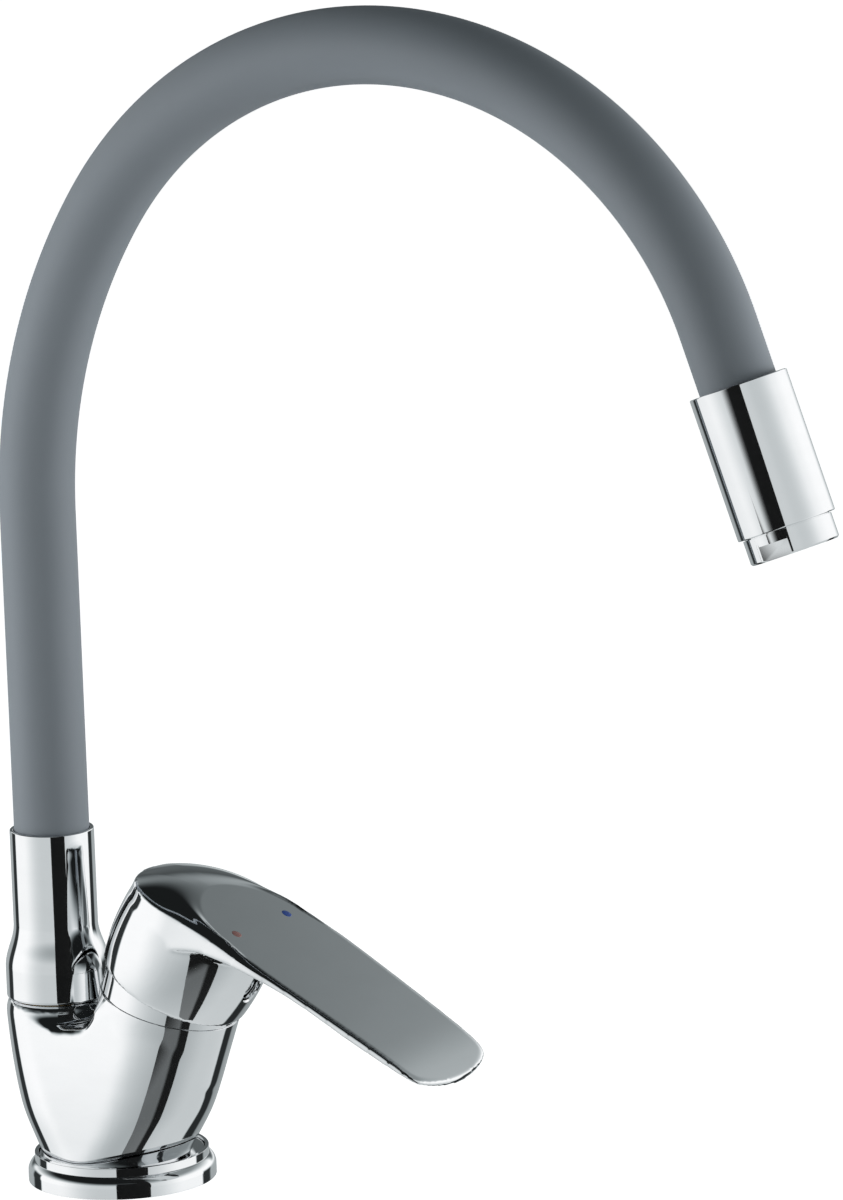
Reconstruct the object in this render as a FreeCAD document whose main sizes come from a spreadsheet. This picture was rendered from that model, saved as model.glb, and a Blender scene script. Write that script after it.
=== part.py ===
import FreeCAD
import Part
import Sketcher
import math
import operator
import os
from types import SimpleNamespace

# Kitchen mixer tap with one lever and a flexible gooseneck spout, in millimetres and degrees.
# The origin is the middle of the base ring on the deck, Z is up, and X is where lever and spout point.

# Driving dimensions: the value and what it measures.
SIZES = {
    # Base ring and its seal
    "base_dia": (54.0, "base ring across its rounded nose"),
    "base_ring_height": (8.4, "top of the base ring above the deck"),
    "base_nose_height": (6.0, "rounded nose of the base ring"),
    "base_nose_radius": (3.4, "rounding of the nose"),
    "base_step": (2.0, "narrow step behind the nose of the base ring"),
    "base_floor": (3.0, "ring floor that the body stands on"),
    "base_floor_width": (4.7, "ring floor between the body's foot and the opening"),
    "seal_inset": (1.7, "middle of the deck seal inside the body's foot"),
    "seal_width": (2.4, "deck seal across its section"),
    "seal_depth": (1.8, "groove depth of the deck seal"),
    "seat_play": (0.2, "play round pieces that are dropped into a seat"),
    # Body casting
    "foot_wall": (3.3, "base ring round the body's foot, from its nose"),
    "foot_ledge": (0.6, "body's ledge below the top of the base ring"),
    "stalk_x": (-1.5, "middle of the body where it rises from the ledge"),
    "ledge_width": (2.2, "ledge round the body where it rises"),
    "waist_height": (23.0, "height of the body's middle section"),
    "waist_rear_x": (-9.6, "rear arc centre of the middle section"),
    "waist_rear_radius": (20.2, "rear arc of the middle section"),
    "waist_front_x": (8.0, "front arc centre of the middle section"),
    "waist_front_radius": (20.9, "front arc of the middle section"),
    "shoulder_height": (50.4, "height of the body's top section"),
    "shoulder_rear_radius": (15.4, "rear arc of the top section, round the spout axis"),
    "shoulder_front_x": (18.4, "front arc centre of the top section"),
    "shoulder_front_radius": (20.0, "front arc of the top section"),
    "crest_height": (61.0, "height of the body's crest, above the cartridge rim"),
    "crest_rear_radius": (14.6, "rear arc of the crest section"),
    "crest_front_x": (20.6, "front arc centre of the crest section"),
    "crest_front_radius": (20.0, "front arc of the crest section"),
    "saddle_radius": (70.0, "hollow between spout and cartridge housing"),
    "saddle_x": (-12.0, "lowest place of the hollow"),
    "saddle_drop": (2.0, "lowest place of the hollow below the spout seat"),
    "scoop_dia": (34.8, "round scoop behind the cartridge housing, about the spout axis"),
    "channel_wall": (14.6, "front wall of the hollow behind the cartridge axis"),
    "channel_radius": (9.0, "round at the foot of that wall"),
    # Water ways and stud in the underside
    "inlet_x": (11.0, "supply inlets ahead of the middle"),
    "inlet_spacing": (17.2, "between hot and cold inlet"),
    "inlet_bore": (8.9, "inlet bore, tapped for a fine ten millimetre thread"),
    "inlet_depth": (12.0, "depth of the inlet bores"),
    "water_bore": (6.0, "water ways"),
    "stud_x": (-11.0, "fixing stud behind the middle"),
    "stud_bore": (6.8, "stud hole, tapped for an eight millimetre thread"),
    "stud_depth": (16.0, "depth of the stud hole"),
    # Spout socket and swivel
    "collar_x": (-19.3, "spout swivel axis behind the middle"),
    "socket_bore": (19.0, "socket for the spigot"),
    "socket_depth": (17.2, "socket below the seat"),
    "seat_height": (48.2, "flat seat under the spout"),
    "seat_dia": (27.6, "recess of that seat"),
    "slide_ring_thick": (1.8, "slide ring under the spout"),
    "slide_ring_dia": (26.4, "slide ring across"),
    "running_play": (0.05, "radial play of turning fits"),
    "spigot_bore": (7.2, "bore of the spigot"),
    "spigot_flange_dia": (26.0, "flange of the spigot"),
    "spigot_flange_thick": (3.0, "thickness of that flange"),
    "spigot_neck_dia": (21.8, "neck of the spigot inside the collar"),
    "spigot_neck_length": (23.0, "neck of the spigot above its flange"),
    "groove_depth": (1.55, "grooves in the spigot"),
    "ring_groove_width": (2.4, "width of a sealing groove"),
    "low_groove_drop": (14.6, "lower sealing groove below the seat"),
    "high_groove_drop": (10.0, "upper sealing groove below the seat"),
    "lock_groove_drop": (5.0, "groove of the lock screw below the seat"),
    "lock_groove_width": (4.6, "width of the lock groove"),
    "lock_screw_dia": (5.0, "lock screw in the back of the body"),
    "lock_tip_dia": (4.0, "tip of the lock screw"),
    "lock_screw_length": (6.0, "length of the lock screw"),
    "lock_bite": (0.9, "how far the tip reaches into the groove"),
    # Spout collar
    "collar_lift": (0.2, "underside of the collar above the slide ring"),
    "collar_foot_dia": (27.8, "flat underside across"),
    "collar_wide_dia": (29.8, "wide lower part"),
    "collar_edge_height": (3.6, "rounded lower edge"),
    "collar_wide_length": (10.4, "wide lower part, up to the flare"),
    "collar_flare_length": (12.6, "flare between the wide and the slim part"),
    "collar_dia": (24.2, "slim upper part"),
    "collar_length": (50.5, "whole collar"),
    "rim_chamfer": (0.5, "small chamfers on rims"),
    # Spout hose and what is inside it
    "hose_dia": (21.6, "silicone hose across"),
    "hose_wall": (2.1, "wall of the hose"),
    "tube_play": (0.2, "play between hose, gooseneck and water tube"),
    "gooseneck_wall": (2.2, "wall of the flexible metal gooseneck"),
    "water_tube_wall": (1.6, "wall of the water tube"),
    "barb_play": (0.1, "play of the barbs in the water tube"),
    "barb_length": (16.0, "length of the barbs"),
    "rise_top": (192.6, "where the hose starts to bend"),
    "first_bend_radius": (158.5, "wide bend at the back"),
    "first_bend_angle": (34.0, "turn of the wide bend"),
    "second_bend_radius": (110.0, "main bend over the top"),
    "outlet_lean_angle": (20.0, "outlet leaning forward from straight down"),
    "hose_tail": (16.5, "straight hose above the outlet sleeve"),
    # Outlet
    "sleeve_dia": (27.5, "outlet sleeve across"),
    "sleeve_length": (40.2, "outlet sleeve"),
    "hose_insert": (18.0, "hose inside the sleeve"),
    "outlet_thread_dia": (24.0, "thread for the aerator"),
    "nipple_flange_thick": (4.0, "flange of the outlet nipple"),
    "washer_thick": (2.0, "aerator washer"),
    "washer_hole_dia": (16.0, "hole of the aerator washer"),
    "aerator_dia": (25.0, "aerator ring across"),
    "aerator_head": (7.0, "height of the aerator ring"),
    "aerator_seam": (0.3, "gap between sleeve and aerator ring"),
    "flat_depth": (0.8, "depth of the wrench flats in the aerator ring"),
    "flat_height": (4.4, "height of the wrench flats"),
    "aerator_bore": (20.4, "bore of the aerator housing"),
    "aerator_mouth": (18.6, "mouth of the aerator"),
    "aerator_lip": (2.2, "lip that carries the insert"),
    "screen_thick": (0.8, "outlet screen"),
    "screen_hole": (2.6, "holes of the screen"),
    "screen_pitch": (3.7, "spacing of the holes"),
    "insert_hole": (2.0, "jet holes of the insert"),
    "insert_hole_circle": (13.0, "circle of the jet holes"),
    # Cartridge housing in the body, along the leaning cartridge axis
    "pivot_x": (20.4, "lever pivot ahead of the middle"),
    "pivot_height": (59.2, "lever pivot above the deck"),
    "cartridge_lean_angle": (17.0, "cartridge axis leaning forward"),
    "pivot_lift": (6.0, "pivot above the body's rim"),
    "housing_dia": (40.7, "body round the cartridge, at its rim"),
    "housing_low_dia": (39.0, "body round the cartridge, at its lower end"),
    "housing_length": (20.0, "length of that round part"),
    "shoulder_flare_angle": (21.0, "slope of the shoulders away from the cartridge axis"),
    "bore_dia": (35.2, "cartridge bore"),
    "bore_depth": (31.0, "cartridge bore below the rim"),
    # Cartridge
    "cartridge_dia": (34.9, "cartridge across"),
    "cartridge_wall": (0.95, "wall of the cartridge housing"),
    "port_dia": (6.0, "ports of the cartridge"),
    "outlet_port_back": (9.0, "mixed water port behind the axis"),
    "seal_ring_dia": (9.0, "port seals across"),
    "seal_ring_thick": (1.4, "port seals"),
    "seal_squeeze": (0.2, "how far the port seals stand proud"),
    "cartridge_base_thick": (4.8, "base of the cartridge"),
    "base_lip_thick": (1.8, "lip of that base"),
    "fixed_disc_dia": (31.0, "fixed ceramic disc"),
    "fixed_disc_thick": (4.0, "fixed ceramic disc"),
    "moving_disc_dia": (24.0, "moving ceramic disc"),
    "moving_disc_thick": (4.5, "moving ceramic disc"),
    "disc_film": (0.03, "water film between the ceramic discs"),
    "chamber_dia": (15.0, "mixing chamber in the moving disc"),
    "chamber_depth": (2.0, "depth of that chamber"),
    "carrier_thick": (4.3, "carrier of the moving disc"),
    "flat_play": (0.2, "play between carrier and stem guide"),
    "guide_flange_thick": (2.0, "flange of the stem guide"),
    "guide_flange_dia": (27.0, "flange of the stem guide"),
    "guide_dia": (20.7, "stem guide across"),
    "guide_top": (9.5, "top of the stem guide above the rim"),
    "slot_length": (14.4, "slot of the stem guide"),
    "slot_width": (9.0, "width of that slot"),
    "shoulder_thick": (2.8, "top plate of the cartridge housing"),
    "neck_wall": (1.9, "neck of the cartridge housing"),
    "neck_top": (9.0, "top of the neck above the rim"),
    "nut_dia": (36.0, "cartridge nut, over its thread"),
    "nut_hole_dia": (25.2, "hole of the nut"),
    "nut_top": (2.5, "top of the nut above the rim"),
    "cover_dia": (40.0, "cover under the lever"),
    "cover_wall": (1.6, "wall of the cover"),
    "cover_opening_dia": (30.0, "opening of the cover"),
    # Lever stem
    "lever_rest_angle": (12.0, "closed lever leaning forward of the cartridge axis"),
    "stem_arm": (20.5, "pivot to ball end"),
    "stem_dia": (4.8, "round part and ball end of the stem"),
    "ball_play": (0.3, "play of the ball end in the carrier"),
    "stem_boss_dia": (8.4, "boss round the pivot pin"),
    "stem_boss_width": (8.6, "width of that boss"),
    "shank_side": (8.0, "square shank of the stem"),
    "shank_low": (4.0, "shank above the pivot"),
    "shank_high": (23.0, "end of the shank"),
    "pin_dia": (3.0, "pivot pin"),
    "pin_length": (19.6, "pivot pin"),
    # Lever casting, above the pivot and along the leaning lever axis
    "dome_dia": (43.6, "dome of the lever at its rim"),
    "crown_dia": (45.0, "dome of the lever under its crown"),
    "dome_swell": (0.9, "bulge of the dome's sides"),
    "dome_side": (22.0, "height of the dome's sides"),
    "dome_top_dia": (28.0, "flat top of the dome inside the crown"),
    "dome_top": (25.5, "height of that top"),
    "dome_cavity": (20.8, "radius of the hollow in the dome"),
    "hub_dia": (19.0, "hub round the shank"),
    "hub_low": (8.0, "underside of the hub"),
    "face_height": (31.7, "flat face of the lever above its rim"),
    "flare_reach": (31.0, "widest place of the lever ahead of the axis"),
    "flare_width": (47.4, "lever at its widest place"),
    "tip_length": (9.4, "rounded end of the lever"),
    "tip_width": (40.8, "lever where the tip starts"),
    "lever_reach": (91.4, "tip of the lever ahead of the axis"),
    "tip_end_width": (31.6, "width of the bowed end of the tip"),
    "tip_bow": (2.6, "bow of that end"),
    "crown_half": (25.0, "half width of the crown sections"),
    "crown_shoulder": (16.0, "half width of the crown between its shoulders"),
    "rear_crown": (24.5, "crown height at the very back"),
    "rear_shoulder_drop": (2.6, "crown's shoulder below it at the very back"),
    "rear_edge_drop": (7.0, "crown's edge below its shoulder at the very back"),
    "back_reach": (8.0, "crown section behind the axis"),
    "back_crown": (32.3, "crown height behind the axis"),
    "back_shoulder_drop": (1.6, "crown's shoulder below it behind the axis"),
    "back_edge_drop": (5.8, "crown's edge below its shoulder behind the axis"),
    "front_reach": (14.0, "crown section ahead of the axis"),
    "front_crown": (34.0, "crown height ahead of the axis"),
    "front_shoulder_drop": (0.6, "crown's shoulder below it ahead of the axis"),
    "front_edge_drop": (4.6, "crown's edge below its shoulder ahead of the axis"),
    "root_reach": (40.0, "where the blade of the lever starts"),
    "blade_crown": (33.8, "crown height over the blade"),
    "blade_shoulder_drop": (0.2, "crown's shoulder below it over the blade"),
    "blade_edge_drop": (1.2, "crown's edge below its shoulder over the blade"),
    "rear_underside": (10.0, "underside of the crown block over the dome"),
    "rear_belly": (1.0, "its belly"),
    "front_underside": (21.5, "underside of the crown block ahead of the axis"),
    "front_belly": (4.4, "its belly"),
    "blade_underside": (26.0, "underside of the blade at its root"),
    "blade_belly": (4.4, "its belly"),
    "tip_underside": (27.6, "underside of the blade at its tip"),
    "tip_belly": (2.6, "its belly"),
    "screw_height": (12.5, "clamp screw above the pivot"),
    "clamp_screw_dia": (6.0, "clamp screw"),
    "clamp_hex": (3.4, "hexagon socket of the clamp screw, across corners"),
    "plug_dia": (7.2, "plug over the clamp screw"),
    "plug_length": (3.4, "plug over the clamp screw"),
    "plug_recess": (0.6, "plug behind the dome's surface"),
    "plug_hole": (1.5, "hole in the plug"),
    "mark_dia": (3.0, "hot and cold marks"),
    "mark_depth": (0.8, "marks let into the face"),
    "mark_reach": (16.8, "marks ahead of the axis"),
    "mark_spacing": (26.8, "between the marks"),
}

doc = FreeCAD.newDocument("kitchen_mixer_tap")
sheet = doc.addObject("Spreadsheet::Sheet", "Sizes")
for row, (alias, (value, note)) in enumerate(SIZES.items(), start=1):
    sheet.set("A%d" % row, alias)
    sheet.set("B%d" % row, repr(value))
    sheet.set("C%d" % row, note)
    sheet.setAlias("B%d" % row, alias)
doc.recompute()

OPERATIONS = {"+": operator.add, "-": operator.sub, "*": operator.mul, "/": operator.truediv}


class Size:
    """A size worked out from the sheet: its present value and the formula that binds it."""

    def __init__(self, value, formula):
        self.value = value
        self.formula = formula

    def joined(self, sign, other, swapped=False):
        other = as_size(other)
        left, right = (other, self) if swapped else (self, other)
        value = OPERATIONS[sign](left.value, right.value)
        return Size(value, "(%s %s %s)" % (left.formula, sign, right.formula))

    def __add__(self, other):
        return self.joined("+", other)

    def __radd__(self, other):
        return self.joined("+", other, True)

    def __sub__(self, other):
        return self.joined("-", other)

    def __rsub__(self, other):
        return self.joined("-", other, True)

    def __mul__(self, other):
        return self.joined("*", other)

    def __rmul__(self, other):
        return self.joined("*", other, True)

    def __truediv__(self, other):
        return self.joined("/", other)

    def __neg__(self):
        return Size(-self.value, "(0 - %s)" % self.formula)


def as_size(number):
    return number if isinstance(number, Size) else Size(float(number), repr(float(number)))


def sine(angle):
    angle = as_size(angle)
    return Size(math.sin(math.radians(angle.value)), "sin(%s)" % angle.formula)


def cosine(angle):
    angle = as_size(angle)
    return Size(math.cos(math.radians(angle.value)), "cos(%s)" % angle.formula)


def root(size):
    return Size(math.sqrt(size.value), "sqrt(%s)" % size.formula)


def angle_of(across, along):
    """Angle of a slope, in degrees."""
    return Size(
        math.degrees(math.atan2(across.value, along.value)),
        "atan2(%s; %s) / 1 deg" % (across.formula, along.formula),
    )


S = SimpleNamespace(**{alias: Size(sheet.get(alias), "Sizes.%s" % alias) for alias in SIZES})


def vector(x=0.0, y=0.0, z=0.0):
    return FreeCAD.Vector(x, y, z)


# Binding of sizes


def bind(thing, **sizes):
    """Set properties of an object and bind them to the sheet."""
    for name, size in sizes.items():
        size = as_size(size)
        setattr(thing, name, size.value)
        thing.setExpression(name, size.formula)


def bind_position(thing, prop, x=0, y=0, z=0, axis=(0, 1, 0), turn=0):
    """Set a placement property from sizes: a place, and a turn about one axis."""
    place = [as_size(x), as_size(y), as_size(z)]
    turn = as_size(turn)
    rotation = FreeCAD.Rotation(FreeCAD.Vector(*axis), turn.value)
    setattr(thing, prop, FreeCAD.Placement(vector(*[p.value for p in place]), rotation))
    for letter, size in zip("xyz", place):
        thing.setExpression("%s.Base.%s" % (prop, letter), size.formula)
    if turn.value:
        thing.setExpression("%s.Rotation.Angle" % prop, turn.formula)


# Radii of the foot, and heights of the spout's swivel

foot_radius = S.base_dia / 2 - S.foot_wall
opening_radius = foot_radius - S.base_floor_width
seal_radius = foot_radius - S.seal_inset
stalk_radius = foot_radius - S.ledge_width
saddle_low = S.seat_height - S.saddle_drop
socket_floor = S.seat_height - S.socket_depth
low_groove = S.seat_height - S.low_groove_drop
high_groove = S.seat_height - S.high_groove_drop
lock_groove = S.seat_height - S.lock_groove_drop
flange_low = S.seat_height + S.slide_ring_thick
flange_top = flange_low + S.spigot_flange_thick
spigot_top = flange_top + S.spigot_neck_length
collar_foot = flange_low + S.collar_lift
flare_low = collar_foot + S.collar_wide_length
flare_high = flare_low + S.collar_flare_length
collar_top = collar_foot + S.collar_length

# Frames: a place on the middle plane and a lean about Y that a group of pieces shares

lever_lean = S.cartridge_lean_angle + S.lever_rest_angle
bend_end = 180 - S.outlet_lean_angle
outlet_x = (
    S.collar_x
    + S.first_bend_radius * (1 - cosine(S.first_bend_angle))
    + S.second_bend_radius * (cosine(S.first_bend_angle) - cosine(bend_end))
    + S.hose_tail * sine(bend_end)
)
outlet_z = (
    S.rise_top
    + S.first_bend_radius * sine(S.first_bend_angle)
    + S.second_bend_radius * (sine(bend_end) - sine(S.first_bend_angle))
    + S.hose_tail * cosine(bend_end)
)
DECK = dict()
SPOUT = dict(x=S.collar_x)
CARTRIDGE = dict(
    x=S.pivot_x - S.pivot_lift * sine(S.cartridge_lean_angle),
    z=S.pivot_height - S.pivot_lift * cosine(S.cartridge_lean_angle),
    turn=S.cartridge_lean_angle,
)
LEVER = dict(x=S.pivot_x, z=S.pivot_height, turn=lever_lean)
OUTLET = dict(x=outlet_x, z=outlet_z, turn=-S.outlet_lean_angle)


# Sketches and features

pieces = []


def piece(label, thing, frame):
    """Make an object a sub-part: its label and its placement in the tap."""
    thing.Label = label
    bind_position(thing, "Placement", **frame)
    pieces.append(thing)
    return thing


def origin_plane(body, role):
    return next(f for f in body.Origin.OriginFeatures if f.Role == role)


def arc_middle(start, end, radius):
    """Middle point of an arc between two points; a negative radius bulges to the right."""
    chord = end - start
    half = chord.Length / 2
    rise = abs(radius) - math.sqrt(max(radius * radius - half * half, 0.0))
    left = vector(-chord.y, chord.x).normalize()
    return start + chord * 0.5 + left * math.copysign(rise, radius)


def draw_loop(sketch, points):
    """Draw a closed outline. A point is (x, y), or (x, y, radius) where an arc starts there."""
    corners = [vector(as_size(p[0]).value, as_size(p[1]).value) for p in points]
    first = sketch.GeometryCount
    ends = []
    for i, point in enumerate(points):
        start = corners[i]
        end = corners[(i + 1) % len(points)]
        if len(point) == 2:
            sketch.addGeometry(Part.LineSegment(start, end), False)
            ends.append((1, 2))
            continue
        radius = as_size(point[2]).value
        middle = arc_middle(start, end, radius)
        if radius < 0:
            sketch.addGeometry(Part.Arc(start, middle, end), False)
            ends.append((1, 2))
        else:
            sketch.addGeometry(Part.Arc(end, middle, start), False)
            ends.append((2, 1))
    for i, point in enumerate(points):
        following = (i + 1) % len(points)
        sketch.addConstraint(
            Sketcher.Constraint("Coincident", first + i, ends[i][1], first + following, ends[following][0])
        )
        for kind, size in (("DistanceX", as_size(point[0])), ("DistanceY", as_size(point[1]))):
            bind_constraint(sketch, Sketcher.Constraint(kind, first + i, ends[i][0], size.value), size)
        if len(point) == 3:
            radius = as_size(point[2])
            radius = radius if radius.value > 0 else -radius
            bind_constraint(sketch, Sketcher.Constraint("Radius", first + i, radius.value), radius)


def bind_constraint(sketch, constraint, size):
    index = sketch.addConstraint(constraint)
    sketch.setExpression("Constraints[%d]" % index, size.formula)


def draw_circle(sketch, x, y, radius):
    x, y, radius = as_size(x), as_size(y), as_size(radius)
    index = sketch.addGeometry(Part.Circle(vector(x.value, y.value), vector(0, 0, 1), radius.value), False)
    bind_constraint(sketch, Sketcher.Constraint("DistanceX", index, 3, x.value), x)
    bind_constraint(sketch, Sketcher.Constraint("DistanceY", index, 3, y.value), y)
    bind_constraint(sketch, Sketcher.Constraint("Radius", index, radius.value), radius)


def sketch_in(body, name, role, **offset):
    """A sketch on one of the body's own origin planes."""
    sketch = body.newObject("Sketcher::SketchObject", name)
    sketch.AttachmentSupport = [(origin_plane(body, role), "")]
    sketch.MapMode = "FlatFace"
    if offset:
        bind_position(sketch, "AttachmentOffset", **offset)
    return sketch


def turned(name, *loops):
    """A body turned about its own Z axis from outlines of (radius, height)."""
    body = doc.addObject("PartDesign::Body", name)
    sketch = sketch_in(body, name + "_outline", "XZ_Plane")
    for loop in loops:
        draw_loop(sketch, loop)
    turn = body.newObject("PartDesign::Revolution", name + "_turn")
    turn.Profile = sketch
    turn.ReferenceAxis = (sketch, ["V_Axis"])
    turn.Angle = 360
    doc.recompute()
    return body


def block(inner, outer, low, high):
    """Outline of a plain ring between two radii and two heights."""
    return [(inner, low), (outer, low), (outer, high), (inner, high)]


def primitive(body, kind, name, turn=0, axis=(0, 1, 0), place=(0, 0, 0), **sizes):
    """An additive or subtractive primitive of a body, which has to change the body's volume."""
    before = body.Shape.Volume if body.Tip else 0.0
    feature = body.newObject("PartDesign::" + kind, name)
    feature.AttachmentSupport = [(origin_plane(body, "XY_Plane"), "")]
    feature.MapMode = "FlatFace"
    bind(feature, **sizes)
    bind_position(feature, "AttachmentOffset", *place, axis=axis, turn=turn)
    doc.recompute()
    if abs(body.Shape.Volume - before) < 1e-3:
        raise RuntimeError("%s changed nothing" % name)
    return feature


def drill(body, name, dia, low, high, x=0, y=0):
    """A round hole along the body's Z axis."""
    primitive(body, "SubtractiveCylinder", name, place=(x, y, low), Radius=dia / 2, Height=high - low)


def boolean(kind, name, base, tool):
    thing = doc.addObject("Part::" + kind, name)
    thing.Base = base
    thing.Tool = tool
    return thing


def plain(kind, name, turn=0, axis=(0, 1, 0), place=(0, 0, 0), **sizes):
    """A Part primitive that is used up by a boolean."""
    thing = doc.addObject("Part::" + kind, name)
    bind(thing, **sizes)
    bind_position(thing, "Placement", *place, axis=axis, turn=turn)
    return thing


# Base ring and deck seal


def base_ring():
    nose = S.base_dia / 2
    step = S.base_dia / 2 - S.base_step
    socket = foot_radius + S.seat_play
    nose_end = step + S.seat_play
    inset = nose_end - nose + S.base_nose_radius
    edge = S.base_nose_height - root(S.base_nose_radius * S.base_nose_radius - inset * inset)
    outline = [
        (opening_radius, 0),
        (nose, 0),
        (nose, edge, -S.base_nose_radius),
        (nose_end, S.base_nose_height),
        (step, S.base_nose_height),
        (step, S.base_ring_height - S.rim_chamfer),
        (step - S.rim_chamfer, S.base_ring_height),
        (socket, S.base_ring_height),
        (socket, S.base_floor),
        (opening_radius, S.base_floor),
    ]
    ring = turned("base_ring", outline)
    groove = ring.newObject("Sketcher::SketchObject", "seal_groove_outline")
    groove.AttachmentSupport = [(origin_plane(ring, "XZ_Plane"), "")]
    groove.MapMode = "FlatFace"
    middle = seal_radius
    half = S.seal_width / 2
    draw_loop(groove, block(middle - half, middle + half, -S.seal_depth, S.seal_depth))
    before = ring.Shape.Volume
    cut = ring.newObject("PartDesign::Groove", "seal_groove")
    cut.Profile = groove
    cut.ReferenceAxis = (groove, ["V_Axis"])
    cut.Angle = 360
    doc.recompute()
    if ring.Shape.Volume >= before:
        raise RuntimeError("the seal groove cut nothing")
    return piece("base_ring", ring, DECK)


def base_seal():
    middle = seal_radius
    half = S.seal_width / 2 - S.running_play
    return piece(
        "base_seal",
        turned("base_seal", block(middle - half, middle + half, S.running_play, S.seal_depth)),
        DECK,
    )


# Body casting


def body_section(name, height, rear_x, rear_radius, front_x, front_radius):
    """A level outline of two arcs and the straight lines that touch both."""
    lean = (front_radius - rear_radius) / (front_x - rear_x)
    upright = root(1 - lean * lean)
    sketch = doc.addObject("Sketcher::SketchObject", name)
    bind_position(sketch, "Placement", z=height)
    rear = (rear_x - rear_radius * lean, rear_radius * upright)
    front = (front_x - front_radius * lean, front_radius * upright)
    draw_big_arc_loop(sketch, rear, rear_x, rear_radius, front, front_x, front_radius)
    return sketch


def draw_big_arc_loop(sketch, rear, rear_x, rear_radius, front, front_x, front_radius):
    """Each arc is drawn as two, which meet on the middle line, so that none spans a half circle."""
    rear_end = rear_x - rear_radius
    front_end = front_x + front_radius
    draw_loop(
        sketch,
        [
            (rear[0], -rear[1]),
            (front[0], -front[1], -front_radius),
            (front_end, 0, -front_radius),
            (front[0], front[1]),
            (rear[0], rear[1], -rear_radius),
            (rear_end, 0, -rear_radius),
        ],
    )


def mixer_body():
    ledge = S.base_ring_height - S.foot_ledge
    loft = body_loft(ledge)
    saddle = plain(
        "Cylinder",
        "saddle",
        turn=90,
        axis=(1, 0, 0),
        place=(S.saddle_x, S.base_dia, saddle_low + S.saddle_radius),
        Radius=S.saddle_radius,
        Height=S.base_dia * 2,
    )
    boss = plain(
        "Cylinder",
        "spout_boss",
        place=(S.collar_x, 0, saddle_low - S.saddle_drop),
        Radius=S.seat_dia / 2 - S.seat_play,
        Height=S.saddle_drop * 2,
    )
    arms = boolean("Fuse", "body_arms", boolean("Cut", "body_trunk", loft, saddle), boss)
    crest = boolean("Common", "body_crest", loft, flare_cone())
    shoulders = boolean("Cut", "body_shoulders", boolean("Cut", "scooped_crest", crest, scoop()), channel())
    housing = plain(
        "Cone",
        "housing",
        Radius1=S.housing_low_dia / 2,
        Radius2=S.housing_dia / 2,
        Height=S.housing_length,
    )
    along_axis(housing, -S.housing_length)
    rough = doc.addObject("Part::MultiFuse", "body_with_housing")
    rough.Shapes = [arms, shoulders, housing]
    rough.Refine = True
    foot_plug = plain(
        "Cylinder",
        "foot",
        place=(0, 0, S.base_floor),
        Radius=foot_radius,
        Height=ledge - S.base_floor,
    )
    casting = doc.addObject("Part::MultiFuse", "body_casting")
    casting.Shapes = [rough, foot_plug]
    casting.Refine = True
    tools = doc.addObject("Part::MultiFuse", "body_cuts")
    tools.Shapes = body_cuts()
    return piece("mixer_body", boolean("Cut", "mixer_body", casting, tools), DECK)


def body_loft(ledge):
    """The outside of the casting: narrow below, with a rear and a front arm above."""
    stalk = stalk_radius - S.seat_play
    loft = doc.addObject("Part::Loft", "body_loft")
    loft.Sections = [
        body_section("stalk_section", ledge, S.stalk_x - S.seat_play, stalk, S.stalk_x + S.seat_play, stalk),
        body_section(
            "waist_section",
            S.waist_height,
            S.waist_rear_x,
            S.waist_rear_radius,
            S.waist_front_x,
            S.waist_front_radius,
        ),
        body_section(
            "shoulder_section",
            S.shoulder_height,
            S.collar_x,
            S.shoulder_rear_radius,
            S.shoulder_front_x,
            S.shoulder_front_radius,
        ),
        body_section(
            "crest_section",
            S.crest_height,
            S.collar_x,
            S.crest_rear_radius,
            S.crest_front_x,
            S.crest_front_radius,
        ),
    ]
    loft.Solid = True
    loft.Ruled = False
    return loft


def flare_cone():
    """The shoulders fall away from the housing's rim along this cone."""
    spread = S.bore_depth * sine(S.shoulder_flare_angle) / cosine(S.shoulder_flare_angle)
    cone = plain(
        "Cone",
        "flare_cone",
        Radius1=S.housing_dia / 2 + spread,
        Radius2=S.housing_dia / 2,
        Height=S.bore_depth,
    )
    along_axis(cone, -S.bore_depth)
    return cone


def scoop():
    return plain(
        "Cylinder",
        "scoop",
        place=(S.collar_x, 0, saddle_low),
        Radius=S.scoop_dia / 2,
        Height=S.saddle_radius,
    )


def channel():
    """The hollow across the body: a level floor that turns up, in a round, into a wall along the housing."""
    lean = S.cartridge_lean_angle
    floor = saddle_low - S.saddle_drop / 4
    middle = floor + S.channel_radius
    back = (middle - CARTRIDGE["z"]) * sine(lean) - S.channel_wall - S.channel_radius
    turn_x = CARTRIDGE["x"] + back / cosine(lean)
    wall_x = turn_x + S.channel_radius * cosine(lean)
    wall_low = middle - S.channel_radius * sine(lean)
    rear = S.collar_x - S.base_dia / 2
    top = wall_low + S.saddle_radius * cosine(lean)
    sketch = doc.addObject("Sketcher::SketchObject", "channel_outline")
    draw_loop(
        sketch,
        [
            (rear, floor),
            (turn_x, floor, -S.channel_radius),
            (wall_x, wall_low),
            (wall_x + S.saddle_radius * sine(lean), top),
            (rear, top),
        ],
    )
    hollow = doc.addObject("Part::Extrusion", "channel")
    hollow.Base = sketch
    hollow.DirMode = "Custom"
    hollow.Dir = vector(0, 0, 1)
    hollow.Solid = True
    bind(hollow, LengthFwd=S.base_dia * 2)
    bind_position(hollow, "Placement", y=S.base_dia, axis=(1, 0, 0), turn=90)
    return hollow


def along_axis(thing, height, across=0, side=0):
    """Place a primitive on the cartridge axis, at a height measured from the body's rim."""
    lean = S.cartridge_lean_angle
    bind_position(
        thing,
        "Placement",
        x=CARTRIDGE["x"] + height * sine(lean) + across * cosine(lean),
        y=side,
        z=CARTRIDGE["z"] + height * cosine(lean) - across * sine(lean),
        turn=lean,
    )


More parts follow.
